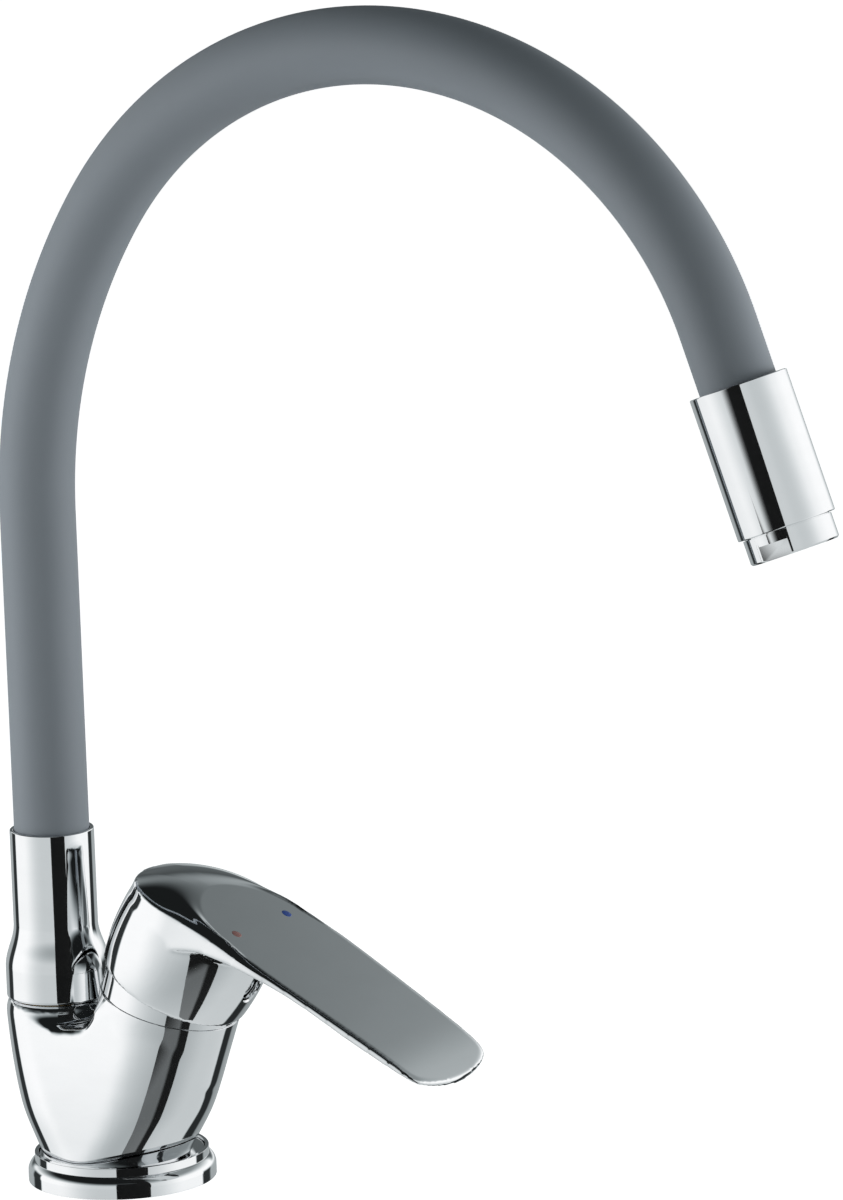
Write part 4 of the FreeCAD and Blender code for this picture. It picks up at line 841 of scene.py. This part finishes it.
def spout_tube(name, radius, wall, around):
    """Extrude a circle up from the collar, spin it over two bends and run it into the outlet."""
    bm = bmesh.new()
    start = Vector((COLLAR_X, 0, HOSE_LOW)) * MM
    bmesh.ops.create_circle(bm, segments=around, radius=radius, matrix=Matrix.Translation(start))
    at = Vector((COLLAR_X, 0, HOSE_RISE)) * MM
    heading = Vector((0, 0, 1))
    rim = run_straight(bm, bm.edges[:], heading, HOSE_RISE - HOSE_LOW, RISE_STEPS)
    for bend_radius, turn, steps in BENDS:
        middle = at + Vector((heading.z, 0, -heading.x)) * (bend_radius * MM)
        ends = list(dict.fromkeys(vert for edge in rim for vert in edge.verts))
        angle = math.radians(turn)
        spun = bmesh.ops.spin(bm, geom=rim + ends, cent=middle, axis=(0, 1, 0), angle=angle, steps=steps)
        rim = [item for item in spun["geom_last"] if isinstance(item, bmesh.types.BMEdge)]
        turning = Matrix.Rotation(angle, 3, "Y")
        at = middle + turning @ (at - middle)
        heading = turning @ heading
    run_straight(bm, rim, heading, HOSE_END, END_STEPS)
    bmesh.ops.remove_doubles(bm, verts=bm.verts, dist=SAME_POINT)
    bmesh.ops.recalc_face_normals(bm, faces=bm.faces)
    outwards = sum(face.normal.dot(face.calc_center_median() - start) for face in bm.faces[:around])
    if outwards < 0:
        bmesh.ops.reverse_faces(bm, faces=bm.faces)
    bmesh.ops.solidify(bm, geom=bm.faces[:], thickness=wall * MM)
    return made_object(name, bm)


class TAP_OT_spout_hose(bpy.types.Operator):
    """Grey silicone hose over the gooseneck and the water tube"""

    bl_idname = "tap.spout_hose"
    bl_label = "Spout Hose"

    def execute(self, context):
        for name, depth, wall, slot, node, around in TUBES:
            radius = sizes().hose_dia / 2 - depth * MM
            tube = dressed(spout_tube(name, radius, wall, around), slot, None, node)
            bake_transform(tube)
        return {"FINISHED"}


# Outlet

SLEEVE_RADIUS = 13.75
SLEEVE_LOW = -40.2
SLEEVE_BORE = 12.0
SLEEVE_NECK = 11.0
SLEEVE_NECK_LOW = -18.0

AERATOR_LOW = -47.5
AERATOR_RADIUS = 12.5
AERATOR_CHAMFER = 0.5
AERATOR_SHOULDER = -40.5
AERATOR_THREAD = 11.95
AERATOR_TOP = -24.0
AERATOR_BORE = 10.2
AERATOR_MOUTH = 9.3
AERATOR_LIP = -45.3
AERATOR_STEPS = 128
AERATOR_ROUND = 0.8
FLAT_CUTTER = (40.0, 10.0, 10.0)
FLAT_MIDDLE = (16.7, -48.1)
FLAT_TURN = 5.0


class TAP_OT_outlet(bpy.types.Operator):
    """Chrome outlet sleeve and aerator ring with two wrench flats"""

    bl_idname = "tap.outlet"
    bl_label = "Outlet"

    def execute(self, context):
        outline = [(SLEEVE_BORE, SLEEVE_LOW), (SLEEVE_RADIUS, SLEEVE_LOW), (SLEEVE_RADIUS, 0)]
        outline += [(SLEEVE_NECK, 0), (SLEEVE_NECK, SLEEVE_NECK_LOW), (SLEEVE_BORE, SLEEVE_NECK_LOW)]
        ring_piece("outlet_sleeve_chrome", outline, OUTLET, "outlet", "outlet_sleeve")
        self.aerator_ring()
        return {"FINISHED"}

    def aerator_ring(self):
        outline = [(AERATOR_MOUTH, AERATOR_LOW), (AERATOR_RADIUS - AERATOR_CHAMFER, AERATOR_LOW)]
        outline += [(AERATOR_RADIUS, AERATOR_LOW + AERATOR_CHAMFER), (AERATOR_RADIUS, AERATOR_SHOULDER)]
        outline += [(AERATOR_THREAD, AERATOR_SHOULDER), (AERATOR_THREAD, AERATOR_TOP)]
        outline += [(AERATOR_BORE, AERATOR_TOP), (AERATOR_BORE, AERATOR_LIP), (AERATOR_MOUTH, AERATOR_LIP)]
        ring = made_object("aerator_ring_chrome", turned(outline, AERATOR_STEPS))
        for side in (-1, 1):
            carved(ring, "DIFFERENCE", self.flat_cutter(side))
        with edited(ring) as bm:
            bmesh.ops.remove_doubles(bm, verts=bm.verts, dist=NEAR_POINT)
            soften(bm, sizes().edge_round * AERATOR_ROUND)
            bmesh.ops.transform(bm, matrix=OUTLET, verts=bm.verts)
            shade_smooth(bm)
        dressed(even_normals(ring), "chrome", "outlet", "aerator_housing")

    def flat_cutter(self, side):
        """The block that a wrench flat is cut with, turned a little about the outlet."""
        across, height = FLAT_MIDDLE
        bm = bmesh.new()
        bmesh.ops.create_cube(bm, size=1.0)
        bmesh.ops.scale(bm, vec=Vector(FLAT_CUTTER) * MM, verts=bm.verts)
        bmesh.ops.translate(bm, vec=Vector((0, across * side, height)) * MM, verts=bm.verts)
        bmesh.ops.rotate(bm, matrix=Matrix.Rotation(math.radians(FLAT_TURN), 3, "Z"), verts=bm.verts)
        return made_object("flat_cutter", bm)


# Lever

UNDERSIDE = ((-23.0, 16.0), (0.0, 17.0), (14.0, 21.5), (40.0, 26.0), (66.0, 26.8), (92.0, 27.9))
BELLY = ((-23.0, 1.0), (0.0, 2.0), (14.0, 4.4), (40.0, 4.4), (66.0, 3.5), (92.0, 2.6))
BELLY_SIDE = 25.0
BLADE_LEAST = 1.2
LEVER_FACE = 31.7
LEVER_REACH = 91.4
LEVER_FLARE = 1.2
LEVER_FLARE_RUN = 31.0
LEVER_TAPER = 3.3
LEVER_TAPER_RUN = 51.0
TIP_RADIUS = 48.0
TIP_POWER = 7
TIP_LEAST = 1e-4
# Drop, start, length and power of each bow of the tip
TIP_BOWS = ((0.8, 40.0, 51.0, 2.5), (1.1, 70.0, 21.4, 3))
FACE_HALF = (
    (18.0, 20.0),
    (26.0, 21.3),
    (34.0, 22.1),
    (48.0, 22.1),
    (64.0, 21.2),
    (80.0, 19.4),
    (85.0, 17.6),
    (89.0, 10.0),
    (LEVER_REACH, 0.0),
)
FACE_MIDDLE = 18.0
FACE_ROUND = 20.5
FACE_SIDE = 20.0
FACE_POWER = 1.7
CREASE_FACE = 31.5
CREASE_DROP = 6.7
CREASE_RUN = 25.0
CROWN_SLOPE = 0.15
CROWN_POWER = 2.3
CROWN_BACK = 40.4
CROWN_LEAST = 0.01
RIM_LIFT = 0.6
RIM_SPREAD = 1.6
RIM_END = 36.0
RIM_RUN = 26.0
RIM_POWER = 4
SEARCH_REACH = 40.0
SEARCH_STEPS = 32
GRID_ALONG = 150
GRID_ACROSS = 48

DOME_RADIUS = 22.5
DOME_FOOT = 21.8
DOME_BULGE = 0.9
DOME_RISE = 22.0
DOME_STEPS = 24
DOME_BORE = 20.8
DOME_CAP = (15.0, 25.0)
HUB_RADIUS = 9.5
HUB_HEIGHTS = (8.0, 23.0)
LEVER_SMOOTHINGS = 6
POLISH_MARGIN = 1.0
POLISH_RUN = 1.5
POLISH_FLOOR = 23.0
POLISH_LIMIT = 0.4

PLUG_HEIGHT = 12.5
PLUG_REACH = 18.2
PLUG_RADIUS = 3.55
PLUG_SHOULDER = 1.2
PLUG_TIP = 3.0
PLUG_LENGTH = 2.9
PLUG_HOLE = 1.0
PLUG_HOLE_FLOOR = 0.8
PLUG_ROUND = 0.12 * MM
PLUG_STEPS = 64
# Radius, low and high end, and the mouth's radius at its high end
PLUG_WAY = (3.75, 9.6, 26.0)
PLUG_MOUTH = (3.0, 21.6, 24.0, 5.2)
PLUG_CUT_STEPS = 96

MARK_REACH = 16.8
MARK_RADIUS = 1.5
MARK_DEPTH = 0.8
MARK_CROWN = 11.2
MARK_MIDDLE = -11.1
MARK_TURN = 82.3
MARK_STEPS = 48
# Name, slot, CAD node and place to the side of each mark
MARKS = (("hot_dot", "red_mark", "hot_mark", -13.4), ("cold_dot", "blue_mark", "cold_mark", 13.4))


def eased_share(t):
    return t * t * (3 - 2 * t)


def clamped(t):
    return min(max(t, 0.0), 1.0)


def lever_half_width(reach):
    """Half the lever's width: round dome, flare, straight sides and a rounded tip."""
    if reach <= 0:
        return math.sqrt(max(DOME_RADIUS**2 - reach**2, 0.0))
    if reach <= LEVER_FLARE_RUN:
        return DOME_RADIUS + LEVER_FLARE * eased_share(reach / LEVER_FLARE_RUN)
    straight = DOME_RADIUS + LEVER_FLARE - LEVER_TAPER * (reach - LEVER_FLARE_RUN) / LEVER_TAPER_RUN
    end = math.sqrt(max((LEVER_REACH - reach) * 2 * TIP_RADIUS, TIP_LEAST))
    return (straight**-TIP_POWER + end**-TIP_POWER) ** (-1 / TIP_POWER)


def reach_of(limit):
    """How far a test holds along a line, found by halving."""
    low, high = 0.0, SEARCH_REACH
    for _ in range(SEARCH_STEPS):
        middle = (low + high) / 2
        low, high = (middle, high) if limit(middle) else (low, middle)
    return low


def crown_height(reach, side):
    """A flat face, and round it the crown, which falls to the crease over the dome."""
    side = abs(side)
    if reach >= FACE_MIDDLE:
        inner, outer, edge = through(FACE_HALF, reach), lever_half_width(reach), reach
        beyond, sideways = side, 1.0
    else:
        back = FACE_MIDDLE - reach
        beyond = math.hypot(back, side)
        back, sideways = back / beyond, side / beyond

        def on_face(s):
            return (s * back / FACE_ROUND) ** 2 + (s * sideways / FACE_SIDE) ** FACE_POWER < 1

        def on_lever(s):
            return s * back < CROWN_BACK and s * sideways < lever_half_width(FACE_MIDDLE - s * back)

        inner, outer = reach_of(on_face), reach_of(on_lever)
        edge = FACE_MIDDLE - outer * back
    t = clamped((beyond - inner) / max(outer - inner, CROWN_LEAST))
    fade = eased_share(clamped((RIM_END - reach) / RIM_RUN))
    rim = RIM_LIFT * math.sin(math.pi * min(t * RIM_SPREAD, 1.0)) ** 2 * fade * sideways**RIM_POWER
    bow = sum(drop * max((reach - start) / length, 0.0) ** power for drop, start, length, power in TIP_BOWS)
    crease = CREASE_FACE - CREASE_DROP * math.exp(-(edge + DOME_RADIUS) / CREASE_RUN)
    fall = CROWN_SLOPE * t + (1 - CROWN_SLOPE) * t**CROWN_POWER
    return LEVER_FACE + rim - bow - (LEVER_FACE - crease) * fall


def underside_height(reach, side):
    low = through(UNDERSIDE, reach) + through(BELLY, reach) * (side / BELLY_SIDE) ** 2
    return min(low, crown_height(reach, side) - BLADE_LEAST)


def lever_top():
    """Crown and blade: two grids over the lever's plan, joined round their rims."""
    bm = bmesh.new()
    for height in (crown_height, underside_height):
        made = bmesh.ops.create_grid(bm, x_segments=GRID_ALONG, y_segments=GRID_ACROSS, size=0.5)
        for vert in made["verts"]:
            share = 0.5 - 0.5 * math.cos(math.pi * clamped(vert.co.x + 0.5))
            reach = -DOME_RADIUS + (LEVER_REACH + DOME_RADIUS) * share
            side = 2 * vert.co.y * lever_half_width(reach)
            vert.co = Vector((reach, side, height(reach, side))) * MM
    rims = [edge for edge in bm.edges if edge.is_boundary]
    bmesh.ops.bridge_loops(bm, edges=rims)
    bmesh.ops.remove_doubles(bm, verts=bm.verts, dist=NEAR_POINT)
    bmesh.ops.recalc_face_normals(bm, faces=bm.faces)
    return made_object("lever_top", bm, LEVER)


def plug_axis(reach):
    """The clamp screw's way under the blade, from a reach on."""
    return LEVER @ Matrix.Translation((reach * MM, 0, PLUG_HEIGHT * MM)) @ FACING_X


class TAP_OT_lever(bpy.types.Operator):
    """Chrome lever casting of dome, crown and blade, with its plug and marks"""

    bl_idname = "tap.lever"
    bl_label = "Lever"

    def execute(self, context):
        self.casting()
        self.plug()
        self.marks()
        return {"FINISHED"}

    def casting(self):
        hub = cylinder("hub", LEVER, HUB_RADIUS, *HUB_HEIGHTS)
        lever = gathered("lever_chrome", [lever_top(), self.dome(), hub])
        cast(lever, sizes().lever_grain, LEVER_SMOOTHINGS)
        self.polish(lever)
        for name, cut in (("plug_way", PLUG_WAY), ("plug_mouth", PLUG_MOUTH)):
            carved(lever, "DIFFERENCE", cylinder(name, plug_axis(0), *cut, steps=PLUG_CUT_STEPS))
        dressed(even_normals(crisp_edges(lever)), "chrome", "handle", "lever")

    def dome(self):
        """A slightly bulging wall over the round cover, closed on top."""
        side = []
        for i in range(DOME_STEPS + 1):
            share = i / DOME_STEPS
            bulge = DOME_BULGE * (1 - (2 * share - 1) ** 2)
            side.append((DOME_FOOT + (DOME_RADIUS - DOME_FOOT) * share + bulge, DOME_RISE * share))
        hollow = arc((0, 0), DOME_BORE, 90, 0, steps=32)
        shell = [(DOME_BORE, 0), *side, DOME_CAP, (0, DOME_CAP[1]), *hollow[:-1]]
        return made_object("dome", turned(shell), LEVER)

    def polish(self, lever):
        """Bring the crown and the face back to their true height, up to the rounded rim."""
        upright = LEVER.inverted()
        with edited(lever) as bm:
            for vert in bm.verts:
                place = upright @ vert.co / MM
                if not POLISH_MARGIN - DOME_RADIUS < place.x < LEVER_REACH - POLISH_MARGIN:
                    continue
                inside = lever_half_width(place.x) - POLISH_MARGIN - abs(place.y)
                if inside > 0 and place.z > POLISH_FLOOR:
                    lift = crown_height(place.x, place.y) - place.z
                    if abs(lift) < POLISH_LIMIT:
                        place.z += lift * min(inside / POLISH_RUN, 1.0)
                        vert.co = LEVER @ (place * MM)

    def plug(self):
        outline = [(0, 0), (PLUG_RADIUS, 0), (PLUG_RADIUS, PLUG_SHOULDER), (PLUG_TIP, PLUG_SHOULDER)]
        outline += [(PLUG_TIP, PLUG_LENGTH), (PLUG_HOLE, PLUG_LENGTH)]
        outline += [(PLUG_HOLE, PLUG_HOLE_FLOOR), (0, PLUG_HOLE_FLOOR)]
        bm = turned(outline, PLUG_STEPS)
        soften(bm, PLUG_ROUND)
        plug = made_object("screw_plug_chrome", bm, plug_axis(PLUG_REACH))
        dressed(even_normals(plug), "chrome", "handle", "screw_plug")

    def marks(self):
        """Two flat drops of paint let into the face."""
        crown = arc((0, MARK_MIDDLE), MARK_CROWN, MARK_TURN, 90, steps=8)
        for name, slot, node, side in MARKS:
            place = LEVER @ Matrix.Translation(Vector((MARK_REACH, side, LEVER_FACE)) * MM)
            bm = turned([(0, -MARK_DEPTH), (MARK_RADIUS, -MARK_DEPTH), *crown], MARK_STEPS)
            dressed(made_object(name, bm, place), slot, "handle", node)


# Pieces that keep their CAD mesh

KEPT_NODES = {
    "black_rubber": ("base_seal", "spigot_o_rings", "cartridge_seals", "aerator_washer"),
    "slide_plastic": ("swivel_slide_ring",),
    "raw_brass": ("spout_spigot", "outlet_nipple", "cartridge_nut", "cartridge_stem"),
    "screw_steel": ("spout_lock_screw", "pivot_pin", "lever_clamp_screw"),
    "aerator_plastic": ("aerator_insert", "aerator_screen"),
    "cartridge_plastic": ("cartridge_base", "cartridge_housing", "stem_guide", "disc_carrier"),
    "white_ceramic": ("fixed_ceramic_disc", "moving_ceramic_disc"),
}


class TAP_OT_inner_pieces(bpy.types.Operator):
    """Finishes of the inner pieces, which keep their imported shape"""

    bl_idname = "tap.inner_pieces"
    bl_label = "Inner Pieces"

    def execute(self, context):
        for slot, names in KEPT_NODES.items():
            for name in names:
                coat(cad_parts[name], slot)
        return {"FINISHED"}


# Stage: places in metres, angles in degrees and points of the photograph in its pixels

CAMERA_AZIMUTH = 31.0
CAMERA_HEIGHT = 11.0
CAMERA_ROLL = -2.0
CAMERA_DISTANCE = 2.2846
CAMERA_SENSOR = 36.0
FOCAL_PIXELS = 7953.0
PHOTO_MIDDLE = (421.5, 600.0)
ORIGIN_PIXEL = (123.0, 1175.0)

FLOOR_RADIUS = 3.0
FLOOR_COLOUR = (0.9, 0.9, 0.9, 1)
FLOOR_GLOW = 0.3
FLOOR_WHITE = 0.54

LAMPS = (("left_box", -95.0), ("right_box", 95.0))
LAMP_SIZE = (0.9, 0.5)
LAMP_POWER = 5.5
LAMP_HEIGHT = 0.12
LAMP_AIM = (0.1, 0, 0.22)

FLAG_DISTANCE = 0.268
FLAG_ACROSS = (-0.01, 0.195)
FLAG_HEIGHTS = (-0.9, 0.9)
FLAG_THIN = (-0.13, -0.07)
FLAG_THIN_ACROSS = (0.09, 0.12)
FLAG_THIN_SHARE = 0.3
FLAG_TOP = (0.160, 0.178)
FLAG_TOP_ACROSS = (0.05, 0.125)
SMALL_FLAG_DISTANCE = 0.105
SMALL_FLAG_ACROSS = (-0.004, 0.05)
SMALL_FLAG_HEIGHTS = (0.098, 0.131)
FLAG_CLOTH = {"base_color": (0.004, 0.004, 0.004, 1), "roughness": 0.9}

# The surrounding light: limits of its regions, on directions of length one, and how much each one dims
CEILING = (0.2, 0.69)
CEILING_GAP = (0.33, 0.5)
CEILING_GAP_SHARE = 0.25
LEFT_SIDE = (-0.2, 0.2)
FAR_SIDE = (-0.76, -0.68)
FAR_DIM = 0.6
EDGE_BAND = (-0.48, -0.42)
EDGE_DIM = 0.98
BEHIND_TOP = (-0.12, 0.08)
BEHIND_LEFT_RISE = 0.25
AHEAD = (0.1, 0.9)
AHEAD_DIM = 0.38
BACKDROP = (-0.92, -0.8)
BACKDROP_FOOT = (-0.02, 0.2)
BACKDROP_DIM = 0.9
BELOW = (-0.7, -0.1)
BELOW_DIM = 0.37
BELOW_RIGHT = (0.0, 0.8)
BELOW_RIGHT_DIM = 0.05
DARKEST = 0.012
BRIGHTEST = 1.1
DARK_TINT = (0.88, 1.0, 1.03)
WHITE = (1, 1, 1)


def camera_axes():
    a, e, r = (math.radians(angle) for angle in (CAMERA_AZIMUTH, CAMERA_HEIGHT, CAMERA_ROLL))
    forward = Vector((-math.sin(a) * math.cos(e), math.cos(a) * math.cos(e), -math.sin(e)))
    right = Vector((math.cos(a), math.sin(a), 0))
    up = right.cross(forward)
    return right * math.cos(r) + up * math.sin(r), up * math.cos(r) - right * math.sin(r), -forward


class TAP_OT_stage(bpy.types.Operator):
    """Pale floor, soft surrounding light, dark flags in front and the camera"""

    bl_idname = "tap.stage"
    bl_label = "Stage"

    def execute(self, context):
        self.camera(context)
        self.world(context)
        self.floor()
        self.flags()
        self.lamps(context)
        context.scene.view_settings.view_transform = "Standard"
        return {"FINISHED"}

    def camera(self, context):
        right, up, back = camera_axes()
        pixel = CAMERA_DISTANCE / FOCAL_PIXELS
        across, down = (at - middle for at, middle in zip(ORIGIN_PIXEL, PHOTO_MIDDLE))
        offset = right * (across * pixel) - up * (down * pixel) - back * CAMERA_DISTANCE
        lens = bpy.data.cameras.new("studio_camera")
        lens.lens = sizes().lens
        lens.sensor_width = CAMERA_SENSOR
        camera = bpy.data.objects.new("studio_camera", lens)
        context.scene.collection.objects.link(camera)
        camera.matrix_world = Matrix.Translation(-offset) @ Matrix((right, up, back)).transposed().to_4x4()
        context.scene.camera = camera

    def world(self, context):
        """White round the horizon, dark overhead and far behind; the camera itself sees white."""
        world = bpy.data.worlds.new("studio")
        context.scene.world = world
        shader = Shader(world)
        eased = shader.eased
        x, y, z = shader.axes(shader.value("ShaderNodeTexCoord", output="Generated"))
        a = math.radians(CAMERA_AZIMUTH)
        towards = x * math.sin(a) - y * math.cos(a)
        rightwards = x * math.cos(a) + y * math.sin(a)
        ceiling = eased(z, *CEILING) * (1 - eased(rightwards, *CEILING_GAP) * CEILING_GAP_SHARE)
        leftwards = 1 - eased(rightwards, *LEFT_SIDE)
        far = 1 - eased(towards, *FAR_SIDE)
        edge = (1 - eased(towards, *EDGE_BAND)) * (1 - far)
        low = 1 - eased(z - leftwards * BEHIND_LEFT_RISE, *BEHIND_TOP)
        behind = (edge * EDGE_DIM + far * FAR_DIM) * low
        ahead = eased(towards, *AHEAD) * AHEAD_DIM
        backdrop = (1 - eased(towards, *BACKDROP)) * eased(z, *BACKDROP_FOOT) * BACKDROP_DIM
        below = (1 - eased(z, *BELOW)) * (BELOW_DIM + eased(rightwards, *BELOW_RIGHT) * BELOW_RIGHT_DIM)
        glow = (1 - ceiling) * (1 - behind) * (1 - ahead) * (1 - below) * (1 - backdrop)
        tone = DARKEST + glow * BRIGHTEST
        camera_ray = shader.camera_ray()
        strength = tone + camera_ray * (1 - tone)
        tint = shader.mixed(glow + camera_ray, DARK_TINT, WHITE)
        light = shader.value("ShaderNodeBackground", inputs={"Color": tint, "Strength": strength})
        shader.node("ShaderNodeOutputWorld", inputs={"Surface": light})

    def floor(self):
        bm = bmesh.new()
        bmesh.ops.create_circle(bm, cap_ends=True, segments=96, radius=FLOOR_RADIUS)
        floor = made_object("floor", bm)
        pale, shader = new_material("pale_floor")
        matte = shader.value("ShaderNodeBsdfDiffuse", inputs={"Color": FLOOR_COLOUR})
        strength = FLOOR_GLOW + shader.camera_ray() * FLOOR_WHITE
        white = shader.value("ShaderNodeEmission", inputs={"Color": (*WHITE, 1), "Strength": strength})
        shader.end(shader.value("ShaderNodeAddShader", inputs={0: matte, 1: white}))
        floor.data.materials.append(pale)
        floor.visible_glossy = False

    def lamps(self, context):
        """A large soft box on each side; the chrome doesn't mirror them."""
        aim = Vector(LAMP_AIM)
        for name, turn in LAMPS:
            box = bpy.data.lights.new(name, "AREA")
            box.shape = "RECTANGLE"
            box.size, box.size_y = LAMP_SIZE
            box.energy = LAMP_POWER
            lamp = bpy.data.objects.new(name, box)
            context.scene.collection.objects.link(lamp)
            a = math.radians(CAMERA_AZIMUTH + turn)
            place = Vector((aim.x + math.sin(a), -math.cos(a), LAMP_HEIGHT))
            facing = (aim - place).to_track_quat("-Z", "Y")
            lamp.matrix_world = Matrix.Translation(place) @ facing.to_matrix().to_4x4()
            lamp.visible_glossy = False

    def flags(self):
        """Dark cards in front of the spout, out of the camera's sight: the chrome mirrors them."""
        right, _, back = camera_axes()
        level_right, level_back = (Vector((axis.x, axis.y, 0)).normalized() for axis in (right, back))
        spout = Vector((COLLAR_X * MM, 0, 0))

        def hang(name, distance, across, heights, cloth):
            bm = bmesh.new()
            bmesh.ops.create_grid(bm, x_segments=1, y_segments=1, size=0.5)
            for vert in bm.verts:
                sideways = level_right * across[vert.co.x > 0]
                vert.co = spout + level_back * distance + sideways + Vector((0, 0, heights[vert.co.y > 0]))
            card = made_object(name, bm)
            card.data.materials.append(cloth)
            card.visible_camera = False
            card.visible_shadow = False
            return card

        start = (spout + level_back * FLAG_DISTANCE).dot(level_right)
        hang("dark_flag", FLAG_DISTANCE, FLAG_ACROSS, FLAG_HEIGHTS, self.flag_cloth(level_right, start))
        plain, shader = new_material("small_flag_cloth")
        shader.surface(**FLAG_CLOTH)
        small = hang("small_flag", SMALL_FLAG_DISTANCE, SMALL_FLAG_ACROSS, SMALL_FLAG_HEIGHTS, plain)
        small.visible_diffuse = False

    def flag_cloth(self, direction, start):
        """Dark cloth that thins out low down and ends softly at the top, both beside its start."""
        cloth, shader = new_material("flag_cloth")
        inputs = {0: shader.place(), 1: direction}
        along = shader.value("ShaderNodeVectorMath", {"operation": "DOT_PRODUCT"}, inputs, "Value") - start
        height = shader.axes(shader.place())[2]
        thin = (1 - shader.eased(height, *FLAG_THIN)) * (1 - shader.eased(along, *FLAG_THIN_ACROSS))
        soft = shader.eased(height, *FLAG_TOP) * (1 - shader.eased(along, *FLAG_TOP_ACROSS))
        shader.surface(**FLAG_CLOTH, alpha=1 - thin * FLAG_THIN_SHARE - soft)
        return cloth


OPERATORS = (
    TAP_OT_stage,
    TAP_OT_base_ring,
    TAP_OT_body,
    TAP_OT_cartridge_cover,
    TAP_OT_spout_collar,
    TAP_OT_spout_hose,
    TAP_OT_outlet,
    TAP_OT_lever,
    TAP_OT_inner_pieces,
)


class TAP_PT_panel(bpy.types.Panel):
    """Pieces of the tap and their settings"""

    bl_idname = "TAP_PT_panel"
    bl_label = "Kitchen Mixer Tap"
    bl_space_type = "VIEW_3D"
    bl_region_type = "UI"
    bl_category = "Tap"

    def draw(self, context):
        for group in (context.scene.tap_sizes, context.scene.tap_finish):
            box = self.layout.box()
            for name in group.bl_rna.properties.keys():
                if name not in ("rna_type", "name"):
                    box.prop(group, name)
        for operator in OPERATORS:
            self.layout.operator(operator.bl_idname)


CLASSES = (TapSizes, TapFinish) + OPERATORS + (TAP_PT_panel,)


def register():
    for part in CLASSES:
        bpy.utils.register_class(part)
    bpy.types.Scene.tap_sizes = PointerProperty(type=TapSizes)
    bpy.types.Scene.tap_finish = PointerProperty(type=TapFinish)


def unregister():
    del bpy.types.Scene.tap_finish
    del bpy.types.Scene.tap_sizes
    for part in reversed(CLASSES):
        bpy.utils.unregister_class(part)


def main():
    register()
    for operator in OPERATORS:
        name = operator.bl_idname.split(".")[1]
        getattr(bpy.ops.tap, name)()


if __name__ == "__main__":
    main()
